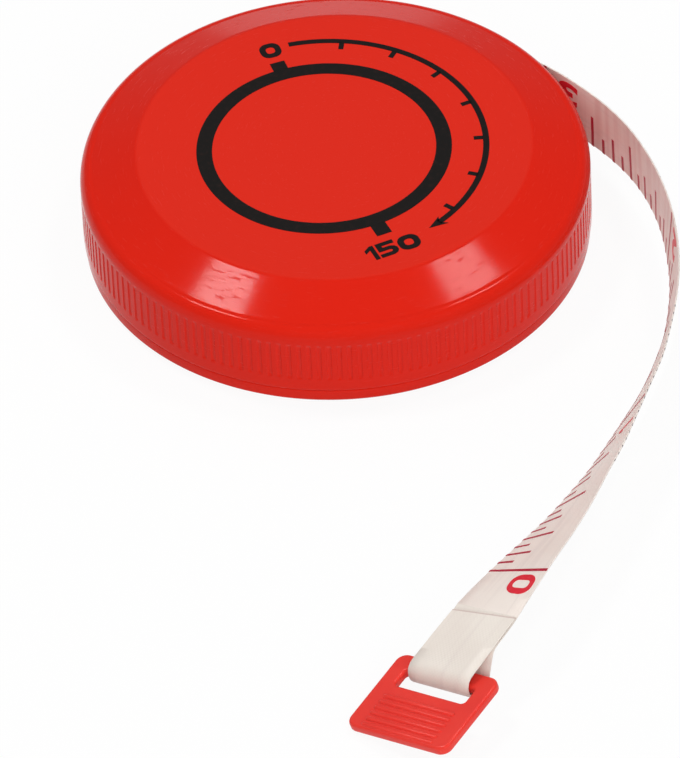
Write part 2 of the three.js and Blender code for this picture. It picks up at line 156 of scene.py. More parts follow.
DIAL_NOUGHT = (0.29, 0.28)  # a nought's strokes as shares of its width and height

# Tape
TAPE_WIDTH = 6.8
TAPE_THICK = 0.15
TAPE_EDGE = (0.05, 0.06)    # softening of its edges, across and through
TAPE_POINTS = 7             # points across each face
TAPE_MIDDLE = 5.5
BEND_STEP = 0.4             # tape and print are cut this finely, so that they bend
TURN_PITCH = 0.35
TURN_THICK = 0.3
ROLL_OUTER = 19.64
ROLL_INNER = 15.19
EXIT_RADIUS = 25.2
EXIT_ANGLE = 31.86
LEAD_ANGLE = 84.4
LEAD_GAP = 0.76
LEAD_STEPS = 5
LEAD_SPREAD = 1.3
SPLINE_STEPS = 24
TAPE_INSIDE = 3             # the free stretch starts this far inside the slot
FREE_ROUTE = [              # from the exit: x, y, height, turn about the line
    (3.1, -3.2, 5.5, 0), (5.58, -6.3, 5.5, -1), (7.63, -9.69, 5.5, -1.6),
    (9.15, -13.34, 5.46, -1.4), (10.21, -17.17, 5.35, 0.5), (10.82, -21.14, 5.18, 3.6),
    (11.02, -25.17, 5.03, 6.3), (10.79, -29.25, 4.88, 9.7), (10.15, -33.31, 4.79, 12.5),
    (9.11, -37.33, 4.75, 17), (7.83, -41.31, 4.78, 22), (6.2, -45.19, 4.91, 26.3),
    (4.53, -49.07, 5.03, 31), (2.83, -52.93, 5.21, 36.1), (0.91, -56.68, 5.42, 41.6),
    (-1.01, -60.39, 5.69, 48.7), (-3.03, -63.98, 6.1, 56.1), (-5.11, -67.49, 6.52, 62.4),
    (-7.22, -70.94, 6.68, 70.1), (-9.21, -73.99, 6.45, 78),
]

# Print on the tape
INCH = 25.4
ZERO_FROM_EXIT = 76.04      # the scale's zero line along the tape
PRINT_LIFT = 0.025          # ink above the tape's face
BACK_LIFT = 0.008
INCH_STROKE = 0.35
METRIC_STROKE = 0.2
METRIC_MARGIN = 0.06        # from the edge to the strokes
EDGE_INK = (37, 60)         # where the back's ink shows on the edge, from the exit
FIGURE_GAP = 3.3            # from the inch line to the far side of its figure
FIGURE_CREEP = 0.33         # each figure stands this much further from its inch line than the one before
FIGURE_FOOT = 2.85
FIGURE_SIZE = (2.6, 2.7)
FIGURE_ONE = 0.8            # width of a one
FIGURE_NOUGHT = (0.29, 0.18)
FIGURE_WEIGHT = 0.04
FIGURE_END = 5              # the figures end within this past the zero line
BACK_FOOT = -2.4
BACK_SIZE = (1.5, 2.2)
BACK_ONE = 0.7

# Pull tab and the tape's loop, in the tab's own frame: the bar's axis is the origin, +X the pull
TAB_LENGTH = 9.8
TAB_WIDTH = 11.8
TAB_THICK = 1
TAB_CORNER = 1.1
TAB_EDGE = 0.3
TAB_BEARING = -127.4
TAB_TILT = 13
TAB_PITCH = 7.1
TAB_OFFSET = (-13.29, -78.69)
BAR_WIDTH = 1.9
BAR_HEIGHT = 2.8
WINDOW_LENGTH = 2.1
WINDOW_WIDTH = 8.4
WINDOW_CORNER = 0.5
WINDOW_TUCK = 0.1           # the rounded edge inside the window is smaller than outside
RIDGE_COUNT = 6
RIDGE_PITCH = 0.755
RIDGE_RADIUS = 0.3
RIDGE_SINK = 0.12
RIDGE_MARGIN = 1.5
LOOP_RADIUS = 1.35
LOOP_SQUEEZE = 0.93         # along the pull
LOOP_WRAP = (212, 430)      # degrees round the bar
LOOP_UNDER = [(-5.6, 3.22), (-5, 2.99), (-4, 2.63), (-2.6, 2.06), (-1.8, 0.75)]
LOOP_OVER = [(-0.8, 1.73), (-2.2, 2.24), (-3.6, 2.74), (-4.8, 3.16), (-5.73, 3.47)]
LOOP_REACH = 5.8
LOOP_EASE = 1.2             # over this length it takes over the free tape's direction
LOOP_SHIFT = 0.15
LOOP_SKEW = -0.18
LOOP_LEAN = 9.1             # degrees, the sealed end across the tape
LOOP_SPREAD = 0.05          # how much wider the tape is pressed where it bears on the bar

# Soft boxes: name, direction, distance and size in metres, radiance, whether gloss shows them
SOFT_BOXES = [
    ("soft_left", (-0.357, 0.148, 0.93), 0.9, (0.165, 0.155), 27, True),
    ("soft_right", (0.375, 0.177, 0.9), 0.9, (0.15, 0.16), 19, True),
    ("back_fill", (-0.3, 0.8, 0.65), 1.3, (1.8, 1.0), 0.45, False),
    ("front_fill", (0.22, -0.85, 0.48), 1.3, (1.8, 1.0), 2, False),
]


def polar(radius, degrees):
    angle = math.radians(degrees)
    return np.array((radius * math.cos(angle), radius * math.sin(angle)))


def square_to(aim):
    """The direction a quarter turn to the left of a flat one."""
    return np.array((-aim[1], aim[0]))


EXIT = polar(EXIT_RADIUS, EXIT_ANGLE)


def linear(red, green, blue):
    """A colour given in a picture's 0 to 255 values."""
    parts = [c / 255 for c in (red, green, blue)]
    return tuple(c / 12.92 if c < 0.04045 else ((c + 0.055) / 1.055) ** 2.4 for c in parts) + (1,)


# Node helpers

def node(tree, kind, sockets=(), **settings):
    """A node with its settings. An input that is given a socket is linked, any other is set."""
    new = tree.nodes.new(kind)
    for key, value in settings.items():
        setattr(new, key, value)
    for key, value in dict(sockets).items():
        target = new.inputs[key]
        if isinstance(value, bpy.types.NodeSocket):
            tree.links.new(value, target)
        else:
            target.default_value = value
    return new


def made(tree, kind, sockets=(), **settings):
    """The first thing that such a node gives."""
    return node(tree, kind, sockets, **settings).outputs[0]


def math_node(tree, operation, *values, clamp=False):
    return made(tree, "ShaderNodeMath", enumerate(values), operation=operation, use_clamp=clamp)


def times(tree, product, *others):
    for other in others:
        product = math_node(tree, "MULTIPLY", product, other)
    return product


def minus(tree, first, second):
    return math_node(tree, "SUBTRACT", first, second)


def vector_math(tree, operation, *values):
    return made(tree, "ShaderNodeVectorMath", enumerate(values), operation=operation)


def measure(tree, operation, *vectors):
    """A length or a distance."""
    return node(tree, "ShaderNodeVectorMath", enumerate(vectors), operation=operation).outputs["Value"]


def scaled(tree, vector, factor):
    return made(tree, "ShaderNodeVectorMath", {0: vector, "Scale": factor}, operation="SCALE")


def joined(tree, x=0.0, y=0.0, z=0.0):
    return made(tree, "ShaderNodeCombineXYZ", {"X": x, "Y": y, "Z": z})


def split(tree, vector):
    return node(tree, "ShaderNodeSeparateXYZ", {0: vector}).outputs


def field(tree, kind):
    return made(tree, "GeometryNodeInput" + kind)


def shape_tree(name, **inputs):
    """A geometry tree with named inputs, listed by kind. Returns the tree and its input sockets by name."""
    tree = bpy.data.node_groups.new(name, "GeometryNodeTree")
    tree.interface.new_socket("Geometry", in_out="OUTPUT", socket_type="NodeSocketGeometry")
    for kind, labels in {"Geometry": ["Geometry"], **inputs, "Material": ["Finish"]}.items():
        for label in labels:
            tree.interface.new_socket(label, in_out="INPUT", socket_type="NodeSocket" + kind)
    return tree, tree.nodes.new("NodeGroupInput").outputs


def copied(tree, count, place, shape, **settings):
    """Copies of a shape, one on each place."""
    points = made(tree, "GeometryNodePoints", {"Count": count, "Position": place})
    return made(tree, "GeometryNodeInstanceOnPoints", {"Points": points, "Instance": shape, **settings})


def mapped(tree, geometry, along, across):
    """Stores the tape's own map, in metres."""
    return made(tree, "GeometryNodeStoreNamedAttribute", {
        "Geometry": geometry, "Name": "UVMap", "Value": joined(tree, along, across),
    }, data_type="FLOAT2", domain="CORNER")


def close_tree(tree, given, geometry):
    whole = made(tree, "GeometryNodeRealizeInstances", {"Geometry": geometry})
    painted = made(tree, "GeometryNodeSetMaterial", {"Geometry": whole, "Material": given["Finish"]})
    node(tree, "NodeGroupOutput", {0: painted})
    return tree


def use_tree(obj, tree, values):
    modifier = obj.modifiers.new(tree.name, "NODES")
    modifier.node_group = tree
    for item in tree.interface.items_tree:
        if item.in_out == "INPUT" and item.name in values:
            modifier[item.identifier] = values[item.name]


# Mesh helpers

def link(name, data):
    obj = bpy.data.objects.new(name, data)
    bpy.context.scene.collection.objects.link(obj)
    return obj


def mesh_piece(name, points, faces):
    """A piece from points in millimetres."""
    mesh = bpy.data.meshes.new(name)
    mesh.from_pydata((np.asarray(points, float) * MM).tolist(), [], faces)
    mesh.update()
    return link(name, mesh)


def shown_mesh(obj, **options):
    """What an object's modifiers or curves make, as a plain mesh."""
    bpy.context.view_layer.update()
    depsgraph = bpy.context.evaluated_depsgraph_get()
    return bpy.data.meshes.new_from_object(obj.evaluated_get(depsgraph), depsgraph=depsgraph, **options)


def bake(obj):
    """Turns what the modifiers make into the piece's own mesh."""
    mesh = shown_mesh(obj, preserve_all_data_layers=True)
    obj.modifiers.clear()
    obj.data = mesh
    return obj


def smooth(obj, degrees):
    """Smooth all over, apart from edges that are sharper than the angle."""
    for face in obj.data.polygons:
        face.use_smooth = True
    obj.data.set_sharp_from_angle(angle=math.radians(degrees))


def paint(obj, finish):
    obj.data.materials.clear()
    obj.data.materials.append(finish)


def finished(obj, finish, degrees=35):
    paint(obj, finish)
    smooth(obj, degrees)
    return obj


def discard(*helpers):
    for helper in helpers:
        bpy.data.objects.remove(helper)


def rounded_line(corners, steps=5):
    """A line through (x, y) corners, where (x, y, radius) is rounded off."""
    line = []
    for i, corner in enumerate(corners):
        here = np.array(corner[:2], float)
        if len(corner) < 3:
            line.append(tuple(here))
            continue
        before = np.array(corners[i - 1][:2], float) - here
        after = np.array(corners[(i + 1) % len(corners)][:2], float) - here
        before /= np.linalg.norm(before)
        after /= np.linalg.norm(after)
        half = math.acos(np.clip(before @ after, -1, 1)) / 2
        reach = corner[2] / math.tan(half)
        middle = (before + after) / np.linalg.norm(before + after)
        centre = here + middle * corner[2] / math.sin(half)
        first = here + before * reach - centre
        last = here + after * reach - centre
        for k in range(steps + 1):
            aim = first * (1 - k / steps) + last * (k / steps)
            line.append(tuple(centre + aim / np.linalg.norm(aim) * corner[2]))
    return line


def revolve(name, profile, angles, closed=False):
    """Turns a profile of (radius, height) about Z. It runs anticlockwise in the half plane."""
    points = []
    rows = []
    count = len(angles)
    for radius, height in profile:
        start = len(points)
        if radius < 1e-6:
            points.append((0, 0, height))
            rows.append([start] * count)
        else:
            points += [(radius * math.cos(a), radius * math.sin(a), height) for a in angles]
            rows.append(list(range(start, start + count)))
    pairs = list(zip(rows, rows[1:]))
    if closed:
        pairs.append((rows[-1], rows[0]))
    faces = []
    for low, high in pairs:
        for j in range(count):
            k = (j + 1) % count
            face = tuple(dict.fromkeys((low[j], low[k], high[k], high[j])))
            if len(face) > 2:
                faces.append(face)
    return mesh_piece(name, points, faces)


def even_angles(count):
    return [2 * math.pi * i / count for i in range(count)]


def block(name, size, place, turn=0.0):
    """A cutting block."""
    w, d, h = (value / 2 for value in size)
    points = [(x, y, z) for z in (-h, h) for x, y in ((-w, -d), (w, -d), (w, d), (-w, d))]
    faces = [(3, 2, 1, 0), (4, 5, 6, 7)] + [(i, (i + 1) % 4, (i + 1) % 4 + 4, i + 4) for i in range(4)]
    obj = mesh_piece(name, points, faces)
    obj.data.transform(Matrix.Translation(Vector(place) * MM) @ Matrix.Rotation(math.radians(turn), 4, "Z"))
    return obj


def cut(obj, *blocks):
    for tool in blocks:
        modifier = obj.modifiers.new(tool.name, "BOOLEAN")
        modifier.object = tool
        modifier.operation = "DIFFERENCE"
        modifier.solver = "EXACT"
    bake(obj)
    discard(*blocks)


# Materials

def material(name):
    finish = bpy.data.materials.new(name)
    finish.use_nodes = True
    return finish, finish.node_tree


def surfaced(finish, colour, rough, normal, plain=()):
    """Feeds colour, roughness and normal to the shader, and sets what is the same all over."""
    tree = finish.node_tree
    shader = tree.nodes["Principled BSDF"]
    for socket, value in (("Base Color", colour), ("Roughness", rough), ("Normal", normal)):
        tree.links.new(value, shader.inputs[socket])
    for socket, value in dict(plain).items():
        shader.inputs[socket].default_value = value
    return finish


def object_place(tree):
    return node(tree, "ShaderNodeTexCoord").outputs["Object"]


def noise(tree, place, scale, detail=3.0, rough=0.5):
    sockets = {"Vector": place, "Scale": scale, "Detail": detail, "Roughness": rough}
    return made(tree, "ShaderNodeTexNoise", sockets)


def ramp(tree, value, low, high, start=0.0, end=1.0, **settings):
    sockets = {"Value": value, "From Min": start, "From Max": end, "To Min": low, "To Max": high}
    return made(tree, "ShaderNodeMapRange", sockets, **settings)


def blend_colours(tree, factor, first, second):
    return node(tree, "ShaderNodeMix", {0: factor, 6: first, 7: second}, data_type="RGBA").outputs[2]


def bump(tree, height, strength, distance, **under):
    sockets = {"Height": height, "Strength": strength, "Distance": distance * MM, **under}
    return made(tree, "ShaderNodeBump", sockets)


def flat_radius(tree, x, y):
    return measure(tree, "LENGTH", joined(tree, x, y))


def around_axis(tree, place, along, outward):
    """Places on a turned surface: marks come out long round the axis and fine across it."""
    x, y, z = split(tree, place)
    angle = math_node(tree, "ARCTAN2", y, x)
    radius = flat_radius(tree, x, y)
    return joined(tree, times(tree, angle, along), times(tree, radius, outward), times(tree, z, outward))


def on_dial(tree, place):
    """1 on the flat face of the dial, 0 elsewhere."""
    x, y, z = split(tree, place)
    radius = flat_radius(tree, x, y)
    inside = ramp(tree, radius, 1, 0, (DIAL_RADIUS - 0.15) * MM, (DIAL_RADIUS + 0.1) * MM)
    high = ramp(tree, z, 0, 1, (CASE_TOP - 0.6) * MM, (CASE_TOP - 0.4) * MM)
    return times(tree, inside, high)


def moulded_plastic(name, colour, worn, rough, grain, dial=None):
    """Glossy moulded plastic: short handling marks round its axis, a faint uneven skin, and a painted
    reflection that makes the dial's flat face paler.
    """
    finish, tree = material(name)
    place = object_place(tree)
    clouds = noise(tree, place, 60, 4)
    specks = noise(tree, place, 2600, 2)
    scuffs = noise(tree, around_axis(tree, place, 14, 5200), 1, 3, 0.6)
    lines = ramp(tree, scuffs, 0, 1, 0.6, 0.7)
    tint = math_node(tree, "MULTIPLY_ADD", clouds, 0.5, times(tree, specks, 0.25))
    body = blend_colours(tree, tint, colour, worn)
    # Painted reflection: the dial's flat face is painted paler, standing in for the room reflecting in it.
    if dial:
        body = blend_colours(tree, times(tree, on_dial(tree, place), 0.6), body, dial)
    dull = math_node(tree, "MULTIPLY_ADD", lines, 0.4, ramp(tree, clouds, rough - 0.02, rough + 0.04))
    skin = bump(tree, specks, grain, 0.01)
    marks = bump(tree, lines, 0.45, 0.01, Normal=skin)
    return surfaced(finish, body, dull, marks, {"Specular IOR Level": 0.1})


def satin_plastic(name, colour, worn):
    """Softer moulding of the pull tab, with cloudy tones and a fine skin."""
    finish, tree = material(name)
    place = object_place(tree)
    clouds = noise(tree, place, 260, 4)
    skin = noise(tree, place, 3800, 2)
    body = blend_colours(tree, ramp(tree, clouds, 0, 1, 0.3, 0.7), colour, worn)
    return surfaced(finish, body, ramp(tree, clouds, 0.3, 0.42), bump(tree, skin, 0.18, 0.02), {
        "Specular IOR Level": 0.3, "Subsurface Weight": 0.08, "Subsurface Radius": (1.0, 0.25, 0.18),
        "Subsurface Scale": 0.6 * MM,
    })


def coated_fibre(name, light, deep, end=None):
    """Coated fibre: a fine weave under the coat, streaks along it, painted red bounce light from the case as
    rosy cross stripes close to it, and, when an end is given, a painted shadow line with some dirt at the cut
    end.
    """
    finish, tree = material(name)
    along, across = split(tree, made(tree, "ShaderNodeUVMap", uv_map="UVMap"))[:2]
    threads = [math_node(tree, "SINE", times(tree, value, 2 * math.pi / (pitch * MM)))
               for value, pitch in ((along, 0.42), (across, 0.36))]
    clouds = noise(tree, object_place(tree), 180, 4)
    bars = noise(tree, joined(tree, times(tree, along, 800), times(tree, across, 30)), 1, 2)
    # Painted red bounce light from the case: a rosy tint over the tape close to the exit, broken into uneven
    # cross stripes.
    case_bounce_reach = times(tree, ramp(tree, along, 0, 1, 0.018, 0.028), ramp(tree, along, 1, 0.05, 0.05, 0.08))
    painted_red_bounce = times(tree, ramp(tree, bars, 0, 0.6, 0.42, 0.66), case_bounce_reach)
    drawn = noise(tree, joined(tree, times(tree, along, 60), times(tree, across, 1500)), 1, 2)
    streaks = ramp(tree, drawn, 0, 0.3, 0.5, 0.7)
    half = TAPE_WIDTH / 2 * MM
    rim = math_node(tree, "ABSOLUTE", minus(tree, across, half))
    edge = ramp(tree, rim, 0, 0.3, half * 0.97, half)
    layers = [(painted_red_bounce, linear(230, 198, 190)), (streaks, linear(222, 208, 202)), (edge, linear(216, 208, 202))]
    # Painted shadow of the cut edge, with some dirt there: a darker line just before the tape's end.
    if end:
        cut_shade_and_dirt = ramp(tree, along, 0, 0.65, (end - 0.17) * MM, (end - 0.08) * MM)
        layers.append((cut_shade_and_dirt, linear(196, 164, 158)))
    body = blend_colours(tree, ramp(tree, clouds, 0, 1, 0.3, 0.7), light, deep)
    for factor, colour in layers:
        body = blend_colours(tree, factor, body, colour)
    weave = bump(tree, times(tree, *threads), 0.16, 0.03)
    return surfaced(finish, body, ramp(tree, clouds, 0.38, 0.5), weave, {"Sheen Weight": 0.05})


def ink(name, colour, thin):
    """Printed ink: thinner here and there, so that the ground shows a little."""
    finish, tree = material(name)
    wear = noise(tree, object_place(tree), 1900, 3, 0.6)
    body = blend_colours(tree, ramp(tree, wear, 0, 0.7, 0.55, 0.8), colour, thin)
    dull = ramp(tree, wear, 0.32, 0.5)
    return surfaced(finish, body, dull, bump(tree, wear, 0.1, 0.01), {"Specular IOR Level": 0.15})


def drum_plastic():
    finish, tree = material("drum_plastic")
    place = object_place(tree)
    rings = noise(tree, around_axis(tree, place, 4, 2600), 1, 2)
    grain = noise(tree, place, 3000, 2)
    body = blend_colours(tree, rings, linear(70, 71, 74), linear(92, 93, 97))
    skin = bump(tree, math_node(tree, "ADD", rings, grain), 0.15, 0.02)
    return surfaced(finish, body, ramp(tree, grain, 0.42, 0.58), skin)


def spring_steel():
    finish, tree = material("spring_steel")
    drawn = noise(tree, around_axis(tree, object_place(tree), 3, 9000), 1, 3)
    body = blend_colours(tree, drawn, linear(160, 163, 168), linear(196, 198, 202))
    return surfaced(finish, body, ramp(tree, drawn, 0.2, 0.36), bump(tree, drawn, 0.1, 0.01), {"Metallic": 1})


def brake_rubber():
    finish, tree = material("brake_rubber")
    place = object_place(tree)
    dust = noise(tree, place, 900, 4, 0.7)
    grain = noise(tree, place, 4200, 2)
    body = blend_colours(tree, dust, linear(34, 34, 35), linear(62, 60, 58))
    return surfaced(finish, body, ramp(tree, dust, 0.7, 0.9), bump(tree, grain, 0.3, 0.03))


# The last colour is painted reflection, laid on the dial's flat face.
case_red = moulded_plastic(
    "case_red", linear(224, 37, 20), linear(216, 31, 17), 0.09, 0.1, linear(226, 49, 34))
button_red = moulded_plastic("button_red", linear(210, 36, 28), linear(200, 30, 24), 0.18, 0.08)
tab_red = satin_plastic("tab_red", linear(242, 62, 51), linear(236, 54, 45))
# Painted light: this ivory is lighter than the loop's copy, to make up for the light on the free tape.
tape_ivory = coated_fibre("tape_ivory", linear(250, 239, 230), linear(245, 232, 223))
dial_black = ink("dial_black", linear(24, 21, 20), linear(48, 30, 27))
scale_red = ink("scale_red", linear(182, 40, 62), linear(206, 100, 112))
figure_red = ink("figure_red", linear(226, 44, 60), linear(232, 92, 100))
edge_grey = ink("edge_grey", linear(150, 138, 140), linear(190, 180, 176))
scale_black = ink("scale_black", linear(70, 62, 66), linear(124, 114, 114))


# Case

def flute_angles():
    """Columns round the case, closer together in the grooves."""
    steps = (0, 0.17, 0.25, 0.3, 0.37, 0.45, 0.55, 0.63, 0.7, 0.75, 0.83)
    return [2 * math.pi * (i + step) / FLUTE_COUNT for i in range(FLUTE_COUNT) for step in steps]


def flute_tree():
    """Sinks round grooves with scooped ends into a turned wall, and leaves the slot's mouth plain."""
    sizes = ("Count", "Depth", "Share", "Low", "High", "Scoop", "Wall", "Mouth Reach")
    tree, given = shape_tree("case flutes", Float=sizes, Vector=["Mouth"])
    x, y, z = split(tree, field(tree, "Position"))
    turn = math_node(tree, "DIVIDE", math_node(tree, "ARCTAN2", y, x), 2 * math.pi)
    phase = math_node(tree, "FRACT", times(tree, turn, given["Count"]))
    aside = math_node(tree, "ABSOLUTE", minus(tree, phase, 0.5))

    def bowl(value, reach):
        share = math_node(tree, "MINIMUM", math_node(tree, "DIVIDE", value, reach), 1.0)
        rest = math_node(tree, "SUBTRACT", 1.0, times(tree, share, share), clamp=True)
        return math_node(tree, "SQRT", rest)

    above = minus(tree, z, minus(tree, given["High"], given["Scoop"]))
    below = minus(tree, math_node(tree, "ADD", given["Low"], given["Scoop"]), z)
    past = math_node(tree, "MAXIMUM", math_node(tree, "MAXIMUM", above, below), 0.0)
    ends = bowl(past, given["Scoop"])
    groove = bowl(aside, times(tree, given["Share"], 0.5))
    flat = joined(tree, x, y)
    outer = math_node(tree, "GREATER_THAN", measure(tree, "LENGTH", flat), given["Wall"])
    gap = measure(tree, "DISTANCE", flat, given["Mouth"])
    clear = math_node(tree, "GREATER_THAN", gap, given["Mouth Reach"])
    depth = times(tree, groove, ends, given["Depth"], outer, clear, -1.0)
    inward = scaled(tree, vector_math(tree, "NORMALIZE", flat), depth)
    moved = made(tree, "GeometryNodeSetPosition", {"Geometry": given["Geometry"], "Offset": inward})
    return close_tree(tree, given, moved)


def case_profile():
    """The cover's section: inside from the middle out, then up the skirt and in over the dial."""
    inside = [
        (0, CEILING), (POST_BORE, CEILING), (POST_BORE, POST_LOW), (POST_RADIUS, POST_LOW),
        (POST_RADIUS, CEILING), (CEILING_RADIUS, CEILING), (INNER_RADIUS, INNER_SHOULDER),
        (INNER_RADIUS, SEAM_TOP),
    ]
    lip = [inside[-1], (CASE_RADIUS, SEAM_TOP, LIP_ROUND), (CASE_RADIUS, FLUTE_LOW)]
    scoop = FLUTE_SCOOP * np.array((0, 0.14, 0.34, 0.62, 1))
    # rows of points up the skirt, closer together where the flutes end
    skirt = [(2.6, 3.4), FLUTE_LOW + scoop, (4.9, 5.8, 6.7), FLUTE_HIGH - scoop[::-1], (8.08,)]
    radius, height = SHOULDER
    band = [(radius + (CASE_RADIUS - radius) * math.cos(t), height - EDGE_ROUND * (1 - math.sin(t)))
            for t in np.linspace(0, math.pi / 2, 13)]
    crease = rounded_line([SHOULDER, (DIAL_RADIUS, DIAL_FACE, CREASE_ROUND), (0, DIAL_FACE)], 8)[1:-1]
    slope = np.array(crease[0]) - SHOULDER
    bevel = [tuple(SHOULDER + slope * share) for share in (0.03, 0.06, 0.5, 0.95)]
    outside = [(CASE_RADIUS, z) for z in np.concatenate(skirt)] + band + bevel + crease
    return inside + rounded_line(lip)[1:-1] + outside + [(r, DIAL_FACE) for r in (17, 9, 0)]


def case_cover():
    cover = revolve("case_cover", case_profile(), flute_angles())
    use_tree(cover, flute_tree(), {
        "Count": FLUTE_COUNT, "Depth": FLUTE_DEPTH * MM, "Share": FLUTE_SHARE, "Low": FLUTE_LOW * MM,
        "High": FLUTE_HIGH * MM, "Scoop": FLUTE_SCOOP * MM, "Wall": (CASE_RADIUS - 0.01) * MM,
        "Mouth": (*(polar(CASE_RADIUS, EXIT_ANGLE) * MM), 0), "Mouth Reach": MOUTH_REACH * MM,
        "Finish": case_red,
    })
    bake(cover)
    middle = EXIT - polar(SLOT_SETBACK, SLOT_BEARING)
    slot = block("slot", (SLOT_LENGTH, SLOT_WIDTH, SLOT_HEIGHT), (*middle, TAPE_MIDDLE), SLOT_BEARING)
    post_slot = block("post_slot", (POST_RADIUS * 1.5, POST_SLOT, CEILING - POST_LOW + 1),
                      (POST_RADIUS * 0.75, 0, (CEILING + POST_LOW - 1) / 2))
    cut(cover, slot, post_slot)
    return finished(cover, case_red, 40)


def base_cover():
    """Underside with its foot, rim up to the seam, spigot, floor and the collar round the button."""
    profile = rounded_line([
        (COLLAR[0], BASE_UNDER, 0.15), (FOOT[0] - BASE_UNDER, BASE_UNDER), (FOOT[0], 0, 0.12),
        (FOOT[1], 0, 0.3), (BASE_RADIUS, BASE_RADIUS - FOOT[1], 0.3), (BASE_RADIUS, SEAM_LOW, 0.12),
        (SPIGOT[1], SEAM_LOW), (SPIGOT[1], SPIGOT_TOP, 0.15), (SPIGOT[0], SPIGOT_TOP, 0.15),
        (SPIGOT[0], BASE_FLOOR), (COLLAR[1], BASE_FLOOR), (COLLAR[1], COLLAR_TOP, 0.2),
        (COLLAR[0], COLLAR_TOP, 0.2),
    ])
    base = revolve("base_cover", profile, even_angles(256), closed=True)
    middle = (*polar(INNER_RADIUS, SPIGOT_GAP_ANGLE), SEAM_LOW + SPIGOT_GAP_RISE)
    cut(base, block("spigot_gap", SPIGOT_GAP, middle, SPIGOT_GAP_ANGLE))
    return finished(base, case_red)


def release_button():
    """A dished face with a rounded rim, the flange that carries the brake, and the stem."""
    profile = rounded_line([
        (0, 0.62), (3.2, 0.55, 3), (4.6, 0.35, 0.35), (BUTTON_RADIUS, 0.6, 0.3), (BUTTON_RADIUS, FLANGE[0]),
        (FLANGE_RADIUS, FLANGE[0], 0.15), (FLANGE_RADIUS, FLANGE[1], 0.15), (STEM_RADIUS, FLANGE[1]),
        (STEM_RADIUS, STEM_TOP, 0.2), (0, STEM_TOP),
    ])
    return finished(revolve("button_cap", profile, even_angles(128)), button_red)


# Dial print

def printed_shape(bm, outline):
    """Adds a thin plate on the dial, from an outline that runs anticlockwise."""
    low, high = ([bm.verts.new(Vector((x, y, z)) * MM) for x, y in outline] for z in (DIAL_FACE, CASE_TOP))
    bm.faces.new(high)
    bm.faces.new(low[::-1])
    for i in range(len(outline)):
        k = (i + 1) % len(outline)
        bm.faces.new((low[i], low[k], high[k], high[i]))


def glyph(character, weight):
    """A figure as triangles in a unit box, from the plain built-in face."""
    curve = bpy.data.curves.new("figure", "FONT")
    curve.body = character
    curve.offset = weight
    curve.resolution_u = 6
    obj = link("figure", curve)
    mesh = shown_mesh(obj)
    points = np.array([v.co[:2] for v in mesh.vertices])
    points = (points - points.min(0)) / np.ptp(points, axis=0)
    faces = [tuple(p.vertices) for p in mesh.polygons]
    discard(obj)
    bpy.data.meshes.remove(mesh)
    return points, faces


def placed(bm, points, place):
    """Adds points to bm. place turns points of a unit box into places in millimetres."""
    return [bm.verts.new(Vector(place(*p)) * MM) for p in points]


def flat_figure(bm, character, place, weight):
    points, faces = glyph(character, weight)
    verts = placed(bm, points, place)
    for face in faces:
        bm.faces.new([verts[i] for i in face])


def plain_figure(bm, outline, place):
    bm.faces.new(placed(bm, outline, place))


def nought(bm, place, side, end):
    """A nought with strokes of the given shares of its width and height."""
    rims = []
    for x, y, corner in ((0, 0, 0.4), (side, end, 0.16)):
        corners = [(x, y, corner), (1 - x, y, corner), (1 - x, 1 - y, corner), (x, 1 - y, corner)]
        rims.append(placed(bm, rounded_line(corners, 6), place))
    outside, inside = rims
    for i in range(len(outside)):
        k = (i + 1) % len(outside)
        bm.faces.new((outside[i], outside[k], inside[k], inside[i]))


def thicken(bm, thick):
    """Gives flat figures their thickness, downwards from their faces."""
    bmesh.ops.remove_doubles(bm, verts=bm.verts, dist=1e-7)
    bmesh.ops.recalc_face_normals(bm, faces=bm.faces)
    grown = bmesh.ops.extrude_face_region(bm, geom=list(bm.faces))
    sunk = [item for item in grown["geom"] if isinstance(item, bmesh.types.BMVert)]
    bmesh.ops.translate(bm, verts=sunk, vec=(0, 0, -thick * MM))
    bmesh.ops.recalc_face_normals(bm, faces=bm.faces)


def to_piece(name, bm, finish):
    mesh = bpy.data.meshes.new(name)
    bm.to_mesh(mesh)
    bm.free()
    obj = link(name, mesh)
    paint(obj, finish)
    return obj


def dial_tick_tree():
    """Short strokes round the dial, one step apart."""
    tree, given = shape_tree("dial strokes", Int=["Count"], Float=["Start", "Step", "Radius"],
                             Vector=["Centre", "Stroke"])
    angle = math_node(tree, "MULTIPLY_ADD", field(tree, "Index"), given["Step"], given["Start"])
    aim = joined(tree, math_node(tree, "COSINE", angle), math_node(tree, "SINE", angle))
    place = vector_math(tree, "ADD", scaled(tree, aim, given["Radius"]), given["Centre"])
    bar = made(tree, "GeometryNodeMeshCube", {"Size": given["Stroke"]})
    strokes = copied(tree, given["Count"], place, bar, Rotation=joined(tree, z=angle))
    return close_tree(tree, given, strokes)


def dial_ticks():
    ticks = mesh_piece("dial_ticks", [], [])
    middle = (*DIAL_CENTRE, CASE_TOP - PRINT_THICK / 2)
    use_tree(ticks, dial_tick_tree(), {
        "Count": TICK_COUNT, "Start": math.radians(TICK_START), "Step": math.radians(TICK_STEP),
        "Radius": TICK_RADIUS * MM, "Centre": [v * MM for v in middle],
        "Stroke": [v * MM for v in (*TICK_SIZE, PRINT_THICK)], "Finish": dial_black,
    })
    return bake(ticks)


